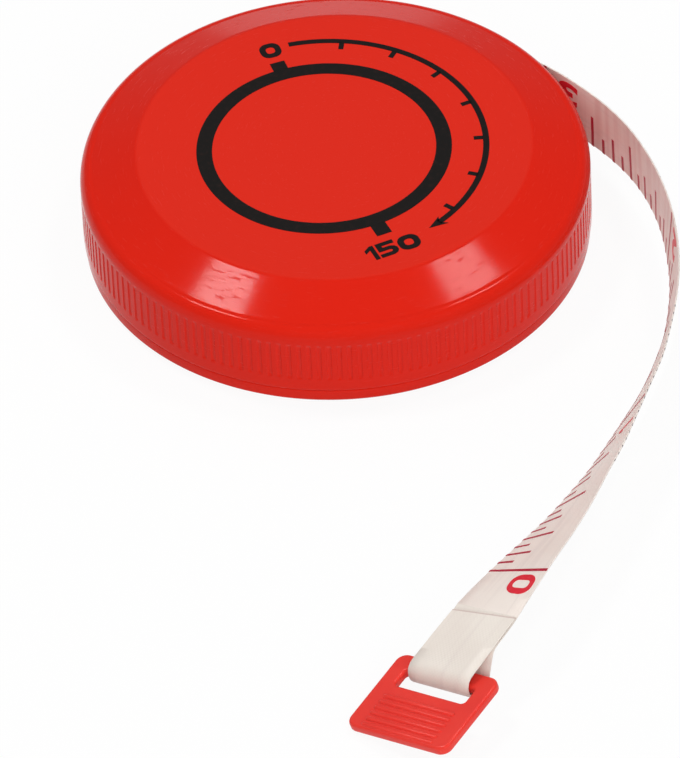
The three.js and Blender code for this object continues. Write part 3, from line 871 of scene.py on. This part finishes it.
def dial_ring():
    """The ring with its two short pointers."""
    inner, outer = RING
    section = [(inner, DIAL_FACE), (outer, DIAL_FACE), (outer, CASE_TOP), (inner, CASE_TOP)]
    ring = revolve("dial_ring", section, even_angles(192), closed=True)
    ring.data.transform(Matrix.Translation((*(DIAL_CENTRE * MM), 0)))
    bm = bmesh.new()
    bm.from_mesh(ring.data)
    for angle, reach, width in POINTERS:
        out = polar(1, angle)
        side = square_to(out) * width / 2
        near = DIAL_CENTRE + out * (outer + 0.005)
        far = DIAL_CENTRE + out * reach
        printed_shape(bm, [near - side, far - side, far + side, near + side])
    discard(ring)
    return to_piece("dial_ring", bm, dial_black)


def dial_arrow():
    """The line round the figures with its arrow head."""
    near, far = ARROW_LINE
    angles = np.linspace(*ARROW_SWEEP, 120)
    line = [polar(near, a) for a in angles] + [polar(far, a) for a in angles[::-1]]
    bm = bmesh.new()
    for outline in (line, [polar(*corner) for corner in ARROW_HEAD]):
        printed_shape(bm, [DIAL_CENTRE + p for p in outline])
    return to_piece("dial_arrow", bm, dial_black)


def dial_figures():
    """The first and last figure of the dial, with their tops towards the middle."""
    bm = bmesh.new()
    for outline, angle, left, right, near, far in DIAL_FIGURES:
        out = polar(1, angle)
        aside = square_to(out)

        def place(x, y):
            spot = DIAL_CENTRE + out * (far + (near - far) * y) + aside * (left + (right - left) * x)
            return (*spot, CASE_TOP)

        if outline:
            plain_figure(bm, outline, place)
        else:
            nought(bm, place, *DIAL_NOUGHT)
    thicken(bm, PRINT_THICK)
    return to_piece("dial_figures", bm, dial_black)


# Tape

def spline(points, steps):
    """The smooth line through the route's points that the solids follow too."""
    points = np.asarray(points, float)
    whole = np.vstack([2 * points[0] - points[1], points, 2 * points[-1] - points[-2]])
    line = []
    t = (np.arange(steps) / steps)[:, None]
    for a, b, c, d in zip(whole, whole[1:], whole[2:], whole[3:]):
        start = (c - a) / 2
        end = (d - b) / 2
        bend = 3 * c - 3 * b - 2 * start - end
        line.append((2 * b - 2 * c + start + end) * t ** 3 + bend * t * t + start * t + b)
    return np.vstack(line + [points[-1:]])


def lengths(line):
    return np.concatenate([[0], np.cumsum(np.linalg.norm(np.diff(line, axis=0), axis=1))])


def unit(rows):
    return rows / np.linalg.norm(rows, axis=1)[:, None]


def tape_route():
    first = ROLL_OUTER + LEAD_GAP
    lead = []
    for i in range(LEAD_STEPS + 1):
        share = i / LEAD_STEPS
        radius = first + (EXIT_RADIUS - first) * share ** LEAD_SPREAD
        lead.append((*polar(radius, LEAD_ANGLE + (EXIT_ANGLE - LEAD_ANGLE) * share), TAPE_MIDDLE, 0))
    return lead + [(EXIT[0] + x, EXIT[1] + y, z, turn) for x, y, z, turn in FREE_ROUTE]


def tape_frames():
    """The tape's middle line with the directions across it and through it."""
    line = spline(tape_route(), SPLINE_STEPS)
    turn = np.radians(line[:, 3:])
    line = line[:, :3]
    along = unit(np.gradient(line, axis=0))
    upright = unit(np.array((0, 0, 1.0)) - along[:, 2:] * along)
    across = upright * np.cos(turn) - np.cross(along, upright) * np.sin(turn)
    return line, across, np.cross(along, across)


def path_piece(name, line, across, through):
    """A helper line that carries the tape's directions, for the trees that lay things on it."""
    mesh = bpy.data.meshes.new(name)
    mesh.from_pydata((line * MM).tolist(), [(i, i + 1) for i in range(len(line) - 1)], [])
    for label, rows in (("across", across), ("through", through)):
        kept = mesh.attributes.new(label, "FLOAT_VECTOR", "POINT")
        kept.data.foreach_set("vector", rows.astype("f").ravel())
    return link(name, mesh)


def lay_tree():
    """Lays what is drawn flat on the tape's path: X along it, Y across it, Z through it."""
    tree, given = shape_tree("lay on tape", Object=["Path"], Float=["Width"])
    info = node(tree, "GeometryNodeObjectInfo", {"Object": given["Path"]})
    curve = made(tree, "GeometryNodeMeshToCurve", {"Mesh": info.outputs["Geometry"]})
    along, across, through = split(tree, field(tree, "Position"))
    spread = math_node(tree, "MULTIPLY_ADD", given["Width"], 0.5, across)
    moved = None
    for label, amount in (("across", across), ("through", through)):
        kept = made(tree, "GeometryNodeInputNamedAttribute", {"Name": label}, data_type="FLOAT_VECTOR")
        sample = node(tree, "GeometryNodeSampleCurve", {"Curves": curve, "Value": kept, "Length": along},
                      data_type="FLOAT_VECTOR", mode="LENGTH").outputs
        step = scaled(tree, sample["Value"], amount)
        moved = vector_math(tree, "ADD", moved or sample["Position"], step)
    flat = mapped(tree, given["Geometry"], along, spread)
    laid = made(tree, "GeometryNodeSetPosition", {"Geometry": flat, "Position": moved})
    return close_tree(tree, given, laid)


LAY = lay_tree()


def lay(obj, path, finish):
    use_tree(obj, LAY, {"Path": path, "Width": TAPE_WIDTH * MM, "Finish": finish})
    return bake(obj)


def tube_faces(count, rows):
    """Faces of a strip whose points lie in rows round its section, with both ends closed."""
    last = rows * count - 1
    faces = [tuple(range(count)), tuple(range(last, last - count, -1))]
    for i in range(0, last + 1 - count, count):
        for k in range(count):
            n = (k + 1) % count
            faces.append((i + k, i + count + k, i + count + n, i + n))
    return faces


def flat_ribbon(name, start, end, step=BEND_STEP):
    """The tape drawn flat: a thin strip with softened edges."""
    half = TAPE_WIDTH / 2
    skin = TAPE_THICK / 2
    flat = half - TAPE_EDGE[0]
    side = skin - TAPE_EDGE[1]
    upper = [(w, skin) for w in np.linspace(flat, -flat, TAPE_POINTS)]
    lower = [(w, -skin) for w in np.linspace(-flat, flat, TAPE_POINTS)]
    section = upper + [(-half, side), (-half, -side)] + lower + [(half, -side), (half, side)]
    stations = np.linspace(start, end, int((end - start) / step) + 1)
    points = [(s, w, h) for s in stations for w, h in section]
    return mesh_piece(name, points, tube_faces(len(section), len(stations)))


def scale_tree(name, longer):
    """A row of strokes from one edge of the tape. longer names how often a stroke has another length."""
    sizes = ["Start", "Pitch", "Edge", "Inward", "Face", "Stroke", "Thick", "Short", *longer]
    tree, given = shape_tree(name, Int=["Count"], Float=sizes)
    index = field(tree, "Index")
    length = given["Short"]
    for label, every in longer.items():
        whole = math_node(tree, "LESS_THAN", math_node(tree, "MODULO", index, every), 0.5)
        choice = {"Switch": whole, "False": length, "True": given[label]}
        length = made(tree, "GeometryNodeSwitch", choice, input_type="FLOAT")
    along = minus(tree, given["Start"], times(tree, index, given["Pitch"]))
    reach = times(tree, length, 0.5, given["Inward"])
    place = joined(tree, along, math_node(tree, "ADD", given["Edge"], reach), given["Face"])
    bar = made(tree, "GeometryNodeMeshCube", {"Size": (1, 1, 1)})
    size = joined(tree, given["Stroke"], length, given["Thick"])
    return close_tree(tree, given, copied(tree, given["Count"], place, bar, Scale=size))


def stroke_row(name, path, finish, count, inward, longer, sizes):
    """A row of strokes laid on the tape, with its sizes in millimetres."""
    marks = mesh_piece(name, [], [])
    values = {label: size * MM for label, size in sizes.items()}
    values.update({"Count": count, "Inward": inward, "Finish": finish})
    use_tree(marks, scale_tree(name, longer), values)
    return lay(marks, path, finish)


def of_width(**shares):
    return {label: share * TAPE_WIDTH for label, share in shares.items()}


def inch_scale(path, zero, start):
    """Sixteenths of an inch on the face, counted from the zero line back to the case."""
    pitch = INCH / 16
    longer = {"Eighth": 2, "Quarter": 4, "Half": 8, "Inch": 16}
    return stroke_row("inch_marks", path, scale_red, int((zero - start) / pitch) + 1, 1.0, longer, {
        "Start": zero, "Pitch": pitch, "Edge": -TAPE_WIDTH / 2, "Face": TAPE_THICK / 2,
        "Stroke": INCH_STROKE, "Thick": 2 * PRINT_LIFT,
        **of_width(Short=0.27, Eighth=0.43, Quarter=0.56, Half=0.64, Inch=0.995),
    })


def metric_scale(path, zero, start):
    """Millimetres on the back."""
    longer = {"Half": 5, "Centimetre": 10}
    return stroke_row("metric_marks", path, scale_black, int(zero - start) + 1, -1.0, longer, {
        "Start": zero, "Pitch": 1, "Edge": TAPE_WIDTH / 2 - METRIC_MARGIN, "Face": -TAPE_THICK / 2,
        "Stroke": METRIC_STROKE, "Thick": 2 * BACK_LIFT,
        **of_width(Short=0.26, Half=0.36, Centimetre=0.52),
    })


def edge_ink(path, leave):
    """Dots on the edge where the back's millimetre strokes run over it."""
    first, last = EDGE_INK
    return stroke_row("edge_ink", path, edge_grey, last - first, -1.0, {}, {
        "Start": leave + last, "Pitch": 1, "Edge": TAPE_WIDTH / 2 + PRINT_LIFT, "Face": -0.02,
        "Stroke": 0.26, "Thick": 0.08, "Short": 0.05,
    })


def slice_up(bm, start, end):
    """Cuts flat figures into narrow strips, so that they bend with the tape."""
    for s in np.arange(start, end, BEND_STEP):
        bmesh.ops.bisect_plane(bm, geom=list(bm.verts) + list(bm.edges) + list(bm.faces),
                               plane_co=(s * MM, 0, 0), plane_no=(1, 0, 0))


def figure_row(name, path, finish, numbers, place, thick, ends, weight=0.0):
    """Figures laid on the tape. place takes a number and a point of its unit box."""
    bm = bmesh.new()
    for number in numbers:
        spot = partial(place, number)
        if number == 0:
            nought(bm, spot, *FIGURE_NOUGHT)
        elif number == 1:
            plain_figure(bm, ONE, spot)
        else:
            flat_figure(bm, str(number), spot, weight)
    thicken(bm, thick)
    slice_up(bm, *ends)
    return lay(to_piece(name, bm, finish), path, finish)


def inch_figures(path, zero, start):
    """Wide figures beside the inch lines, with their tops towards the marked edge."""
    width, height = FIGURE_SIZE

    def place(inch, x, y):
        first = zero - inch * (INCH - FIGURE_CREEP) + FIGURE_GAP
        reach = FIGURE_ONE if inch == 1 else width
        return first - x * reach, FIGURE_FOOT - height * y, TAPE_THICK / 2 + PRINT_LIFT

    inches = range(int((zero - start) / INCH) + 1)
    return figure_row("inch_figures", path, figure_red, inches, place, 2 * PRINT_LIFT,
                      (start, zero + FIGURE_END), FIGURE_WEIGHT)


def metric_figures(path, zero, start):
    """Centimetre figures on the back."""
    width, height = BACK_SIZE

    def place(centimetre, x, y):
        middle = zero - centimetre * 10
        reach = BACK_ONE if centimetre == 1 else width
        return middle - (x - 0.5) * reach, BACK_FOOT + height * y, BACK_LIFT - TAPE_THICK / 2

    centimetres = range(1, int((zero - start) / 10) + 1)
    return figure_row("metric_figures", path, scale_black, centimetres, place, 2 * BACK_LIFT, (start, zero))


def tab_matrix():
    """The tab's frame: the bar's axis, turned the way the tab is pulled and tilted about it."""
    place = Vector((EXIT[0] + TAB_OFFSET[0], EXIT[1] + TAB_OFFSET[1], BAR_HEIGHT)) * MM
    turn = Matrix.Rotation(math.radians(TAB_BEARING), 4, "Z")
    return Matrix.Translation(place) @ (turn @ Matrix.Rotation(math.radians(TAB_TILT), 4, "X"))


def loop_path(end, end_across, end_through):
    """Under the bar, up in front of it and back over the top, where the tape's end is sealed down."""
    bar = np.array(tab_matrix())
    turn = bar[:3, :3]
    middle = bar[:3, 3] / MM
    start = (end - middle) @ turn
    wrap = [polar(LOOP_RADIUS, angle) * (LOOP_SQUEEZE, 1) for angle in np.linspace(*LOOP_WRAP, 12)]
    route = [(start[0], start[2])] + LOOP_UNDER + wrap + LOOP_OVER
    flat = spline([(x, LOOP_SHIFT + LOOP_SKEW * x, z) for x, z in route], SPLINE_STEPS // 2)
    line = flat @ turn.T + middle
    early = np.clip(1 - lengths(line) / LOOP_EASE, 0, 1)[:, None]
    line += (end - line[0]) * early
    along = unit(np.gradient(line, axis=0))
    away = np.clip(-flat[:, :1] / LOOP_REACH, 0, 1)
    lean = np.radians(LOOP_LEAN) * away
    wanted = turn[:, 1] * np.cos(lean) - turn[:, 0] * np.sin(lean)
    across = unit(wanted * (1 - early) + end_across * early)
    through = unit(np.cross(along, across))
    across *= 1 + LOOP_SPREAD * (1 - away)
    through[0] = end_through
    return path_piece("loop_path", line, across, through), lengths(line)[-1]


# Roll on the drum

def roll_tree():
    """The tape wound turn on turn, with a little air between the turns."""
    sizes = ("Turns", "Inner", "Outer", "Width", "Thick", "Middle", "End")
    tree, given = shape_tree("wound tape", Float=sizes)
    spiral = made(tree, "GeometryNodeCurveSpiral", {
        "Resolution": TURN_POINTS, "Rotations": given["Turns"], "Start Radius": given["Inner"],
        "End Radius": given["Outer"], "Height": 0.0, "Reverse": False,
    })
    upright = made(tree, "GeometryNodeSetCurveNormal", {"Curve": spiral}, mode="Z_UP")
    section = {"Width": given["Thick"], "Height": given["Width"]}
    strip = made(tree, "GeometryNodeCurvePrimitiveQuadrilateral", section)
    wound = made(tree, "GeometryNodeCurveToMesh", {
        "Curve": upright, "Profile Curve": strip, "Fill Caps": True,
    })
    x, y, z = split(tree, field(tree, "Position"))
    around = times(tree, math_node(tree, "ARCTAN2", y, x), given["Outer"])
    spread = math_node(tree, "MULTIPLY_ADD", given["Width"], 0.5, z)
    whole = made(tree, "GeometryNodeTransform", {
        "Geometry": mapped(tree, wound, around, spread), "Translation": joined(tree, z=given["Middle"]),
        "Rotation": joined(tree, z=given["End"]),
    })
    return close_tree(tree, given, whole)


def tape_roll():
    """Wound clockwise outwards, with its outer end where the lead leaves it."""
    turns = (ROLL_OUTER - ROLL_INNER) / TURN_PITCH
    roll = mesh_piece("tape_wound", [], [])
    use_tree(roll, roll_tree(), {
        "Turns": turns, "Inner": (ROLL_INNER + TURN_PITCH / 2) * MM,
        "Outer": (ROLL_OUTER - TURN_PITCH / 2) * MM, "Width": TAPE_WIDTH * MM, "Thick": TURN_THICK * MM,
        "Middle": TAPE_MIDDLE * MM, "End": math.radians(LEAD_ANGLE) + 2 * math.pi * turns,
        "Finish": tape_ivory,
    })
    bake(roll)
    smooth(roll, 60)
    return roll


# Springs

def edge_strip(name, line, low, high):
    """A spring strip standing on its edge along a line."""
    line = np.asarray(line, float)
    along = unit(np.gradient(line, axis=0))
    side = np.stack([-along[:, 1], along[:, 0]], 1) * SPRING_STRIP / 2
    points = []
    for left, right in zip(line + side, line - side):
        points += [(*left, low), (*right, low), (*right, high), (*left, high)]
    return mesh_piece(name, points, tube_faces(4, len(line)))


def power_spring():
    """The leaf turns with the drum, and its inner end stays in the slot of the post."""
    low, high = (corner.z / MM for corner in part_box("power_spring"))
    spread = SPRING_OUTER - SPRING_INNER
    shares = np.linspace(0, 1, SPRING_TURNS * TURN_POINTS)
    spiral = [polar(SPRING_INNER + spread * share, 360 * SPRING_TURNS * share) for share in shares]
    outer_end = [(SPRING_OUTER + SPRING_STRIP, 0), (SPRING_HOOK, 0)]
    inner_end = [(POST_BORE + SPRING_STRIP, 0), (POST_RADIUS, 0), (SPRING_INNER - 1.2 * SPRING_STRIP, 0)]
    leaf = edge_strip("power_spring_leaf", spiral[:-1] + outer_end, low, high)
    hook = edge_strip("power_spring_hook", inner_end, low, high)
    return leaf, hook


# Pull tab

def rounded_box(rear, front, half, corner):
    corners = [(rear, -half, corner), (front, -half, corner), (front, half, corner), (rear, half, corner)]
    return rounded_line(corners, 8)


def tab_plate():
    """The plate with its window, its edges rounded all round."""
    rear = -BAR_WIDTH / 2
    e = TAB_EDGE
    outer = rounded_box(rear + e, rear + TAB_LENGTH - e, TAB_WIDTH / 2 - e, TAB_CORNER - e)
    wide = e - WINDOW_TUCK
    front = BAR_WIDTH / 2 + WINDOW_LENGTH
    hole = rounded_box(BAR_WIDTH / 2 - e, front + wide, WINDOW_WIDTH / 2 + wide, WINDOW_CORNER + wide)
    curve = bpy.data.curves.new("tab_outline", "CURVE")
    curve.dimensions = "2D"
    curve.fill_mode = "BOTH"
    curve.extrude = (TAB_THICK / 2 - e) * MM
    curve.bevel_depth = e * MM
    curve.bevel_resolution = 4
    for outline in (outer, hole[::-1]):
        drawn = curve.splines.new("POLY")
        drawn.points.add(len(outline) - 1)
        drawn.points.foreach_set("co", [v for x, y in outline for v in (x * MM, y * MM, 0, 1)])
        drawn.use_cyclic_u = True
    obj = link("tab_outline", curve)
    mesh = shown_mesh(obj)
    discard(obj)
    return mesh


def ridge_shape():
    """One grip ridge: a bar with round ends, lying across the tab."""
    half = WINDOW_WIDTH / 2 - RIDGE_RADIUS
    profile = [(RIDGE_RADIUS * math.cos(t), math.copysign(half, t) + RIDGE_RADIUS * math.sin(t))
               for t in np.linspace(-math.pi / 2, math.pi / 2, 9)]
    profile[0] = (0, -half - RIDGE_RADIUS)
    profile[-1] = (0, half + RIDGE_RADIUS)
    ridge = revolve("ridge", profile, even_angles(20))
    ridge.data.transform(Matrix.Rotation(math.pi / 2, 4, "X"))
    return ridge


def ridge_tree():
    """Adds a row of grip ridges to the plate."""
    sizes = ("Pitch", "First", "Height")
    tree, given = shape_tree("grip ridges", Object=["Ridge"], Int=["Count"], Float=sizes)
    info = node(tree, "GeometryNodeObjectInfo", {"Object": given["Ridge"]})
    along = math_node(tree, "MULTIPLY_ADD", field(tree, "Index"), given["Pitch"], given["First"])
    place = joined(tree, along, z=given["Height"])
    ridges = copied(tree, given["Count"], place, info.outputs["Geometry"])
    both = tree.nodes.new("GeometryNodeJoinGeometry")
    for part in (ridges, given["Geometry"]):
        tree.links.new(part, both.inputs[0])
    return close_tree(tree, given, both.outputs[0])


def pull_tab():
    tab = link("tab_moulding", tab_plate())
    ridge = ridge_shape()
    use_tree(tab, ridge_tree(), {
        "Ridge": ridge, "Count": RIDGE_COUNT, "Pitch": RIDGE_PITCH * MM,
        "First": (BAR_WIDTH / 2 + WINDOW_LENGTH + RIDGE_MARGIN) * MM,
        "Height": (TAB_THICK / 2 - RIDGE_SINK) * MM, "Finish": tab_red,
    })
    bake(tab)
    discard(ridge)
    tab.data.transform(tab_matrix() @ Matrix.Rotation(math.radians(TAB_PITCH), 4, "Y"))
    return finished(tab, tab_red, 40)


# Studio

def aim_camera():
    right = Vector((1, 0, 0))
    ahead = Vector((0, math.cos(LOOK_DOWN), -math.sin(LOOK_DOWN)))
    up = Vector((0, math.sin(LOOK_DOWN), math.cos(LOOK_DOWN)))
    across = right * math.cos(ROLL) + up * math.sin(ROLL)
    above = up * math.cos(ROLL) - right * math.sin(ROLL)
    u = (ORIGIN_PIXEL[0] - IMAGE_WIDTH / 2) / PIXELS_PER_MM
    v = (ORIGIN_PIXEL[1] - IMAGE_HEIGHT / 2) / PIXELS_PER_MM
    place = -(across * u - above * v + ahead * (FOCAL_PIXELS / PIXELS_PER_MM)) * MM
    data = bpy.data.cameras.new("camera")
    data.sensor_width = 36
    data.lens = FOCAL_PIXELS / IMAGE_HEIGHT * data.sensor_width
    data.clip_start = 0.01
    data.clip_end = 20
    camera = link("camera", data)
    turn = Matrix((across, above, -ahead)).transposed()
    camera.matrix_world = Matrix.Translation(place) @ turn.to_4x4()
    bpy.context.scene.camera = camera


def soft_light(name, aim, distance, size, radiance, glossy):
    """A rectangular soft box that looks at the part from a direction."""
    data = bpy.data.lights.new(name, "AREA")
    data.shape = "RECTANGLE"
    data.size, data.size_y = size
    data.energy = radiance * math.pi * size[0] * size[1]
    light = link(name, data)
    aim = Vector(aim).normalized()
    turn = aim.to_track_quat("Z", "Y").to_matrix().to_4x4()
    light.matrix_world = Matrix.Translation(aim * distance) @ turn
    light.visible_glossy = glossy


def shown_directly(tree):
    """One for what the camera sees, also in gloss or through clear pieces."""
    path = node(tree, "ShaderNodeLightPath").outputs
    seen = math_node(tree, "MAXIMUM", path["Is Camera Ray"], path["Is Glossy Ray"])
    return math_node(tree, "MAXIMUM", seen, path["Is Transmission Ray"])


def studio_world():
    """A little brighter round the horizon than overhead, between the soft boxes."""
    world = bpy.data.worlds.new("studio")
    world.use_nodes = True
    tree = world.node_tree
    ground = tree.nodes["Background"]
    height = split(tree, node(tree, "ShaderNodeTexCoord").outputs["Generated"])[2]
    level = ramp(tree, height, 0.35, 0.25, 0.0, 0.6, interpolation_type="SMOOTHSTEP")
    tree.links.new(level, ground.inputs["Strength"])
    ground.inputs["Color"].default_value = (1, 1, 1, 1)
    bpy.context.scene.world = world


def floor():
    """A white table top that keeps a faint shadow."""
    span = 3000
    corners = [(-span, -span), (span, -span), (span, span), (-span, span)]
    table = mesh_piece("floor", [(x, y, -0.01) for x, y in corners], [(0, 1, 2, 3)])
    finish, tree = material("table_white")
    grey = made(tree, "ShaderNodeBsdfDiffuse", {"Color": (0.7, 0.7, 0.7, 1)})
    white = made(tree, "ShaderNodeBsdfDiffuse", {"Color": (0.95, 0.95, 0.95, 1)})
    glow = made(tree, "ShaderNodeEmission", {"Color": (1, 1, 1, 1), "Strength": 1.0})
    shown = made(tree, "ShaderNodeMixShader", {0: 0.93, 1: white, 2: glow})
    either = made(tree, "ShaderNodeMixShader", {0: shown_directly(tree), 1: grey, 2: shown})
    tree.links.new(either, tree.nodes["Material Output"].inputs["Surface"])
    tree.nodes.remove(tree.nodes["Principled BSDF"])
    paint(table, finish)


def light_studio():
    for box in SOFT_BOXES:
        soft_light(*box)
    studio_world()
    floor()


# Put together

def dress_tape():
    line, across, through = tape_frames()
    path = path_piece("tape_path", line, across, through)
    run = lengths(line)
    leave = run[LEAD_STEPS * SPLINE_STEPS]
    start = leave - TAPE_INSIDE
    zero = leave + ZERO_FROM_EXIT
    lead = lay(flat_ribbon("tape_inside", 0, start), path, tape_ivory)
    free = lay(flat_ribbon("tape_ribbon", start, run[-1]), path, tape_ivory)
    prints = [row(path, zero, start) for row in (inch_scale, inch_figures, metric_scale, metric_figures)]
    prints.append(edge_ink(path, leave))
    round_bar, reach = loop_path(line[-1], across[-1], through[-1])
    # Painted shade: the loop's ivory is a darker copy of the tape's, for the light on it, not a different
    # tape.
    loop_ivory_shaded = coated_fibre("loop_ivory_shaded", linear(241, 232, 222), linear(234, 223, 213), reach)
    loop = lay(flat_ribbon("tape_end_loop", 0, reach, BEND_STEP / 2), round_bar, loop_ivory_shaded)
    discard(path, round_bar)
    for strip in (lead, free, loop):
        smooth(strip, 50)
    exit_point = (*(EXIT * MM), TAPE_MIDDLE * MM)
    for piece in (free, *prints):
        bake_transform(piece)
    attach(lead, "case")
    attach(loop, "tape_end")
    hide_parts("tape_lead")
    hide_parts("tape_free")
    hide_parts("tape_loop")
    shown = line[run >= start]
    return free, loop, exit_point, [tuple(p * MM) for p in shown], float(run[-1] - start) * MM


def dress_case():
    for piece, old, body, slot in (
        (case_cover(), "upper_cover", "case", "case_red"),
        (base_cover(), "lower_cover", "case", "case_red"),
        (release_button(), "release_button", "button", "button_red"),
        (tape_roll(), "tape_roll", "spool", "tape_ivory"),
    ):
        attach(piece, body)
        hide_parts(old)
    for piece in (dial_ring(), dial_arrow(), dial_ticks(), dial_figures()):
        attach(piece, "case")


def dress_works():
    """Finishes for the solids inside, and the two springs, which move with what they push."""
    grey = drum_plastic()
    steel = spring_steel()
    finishes = {"drum": grey, "drum_cap": grey, "button_spring": steel, "brake_ring": brake_rubber()}
    for name, finish in finishes.items():
        paint(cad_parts[name], finish)
    leaf, hook = power_spring()
    for piece, body in ((leaf, "spool"), (hook, "case")):
        finished(piece, steel, 30)
        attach(piece, body)
    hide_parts("power_spring")
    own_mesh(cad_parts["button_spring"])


bpy.context.scene.view_settings.view_transform = "Standard"
aim_camera()
light_studio()
ribbon, loop, tape_exit, tape_line, tape_length = dress_tape()
tab = pull_tab()
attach(tab, "tab")
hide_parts("pull_tab")
dress_case()
dress_works()
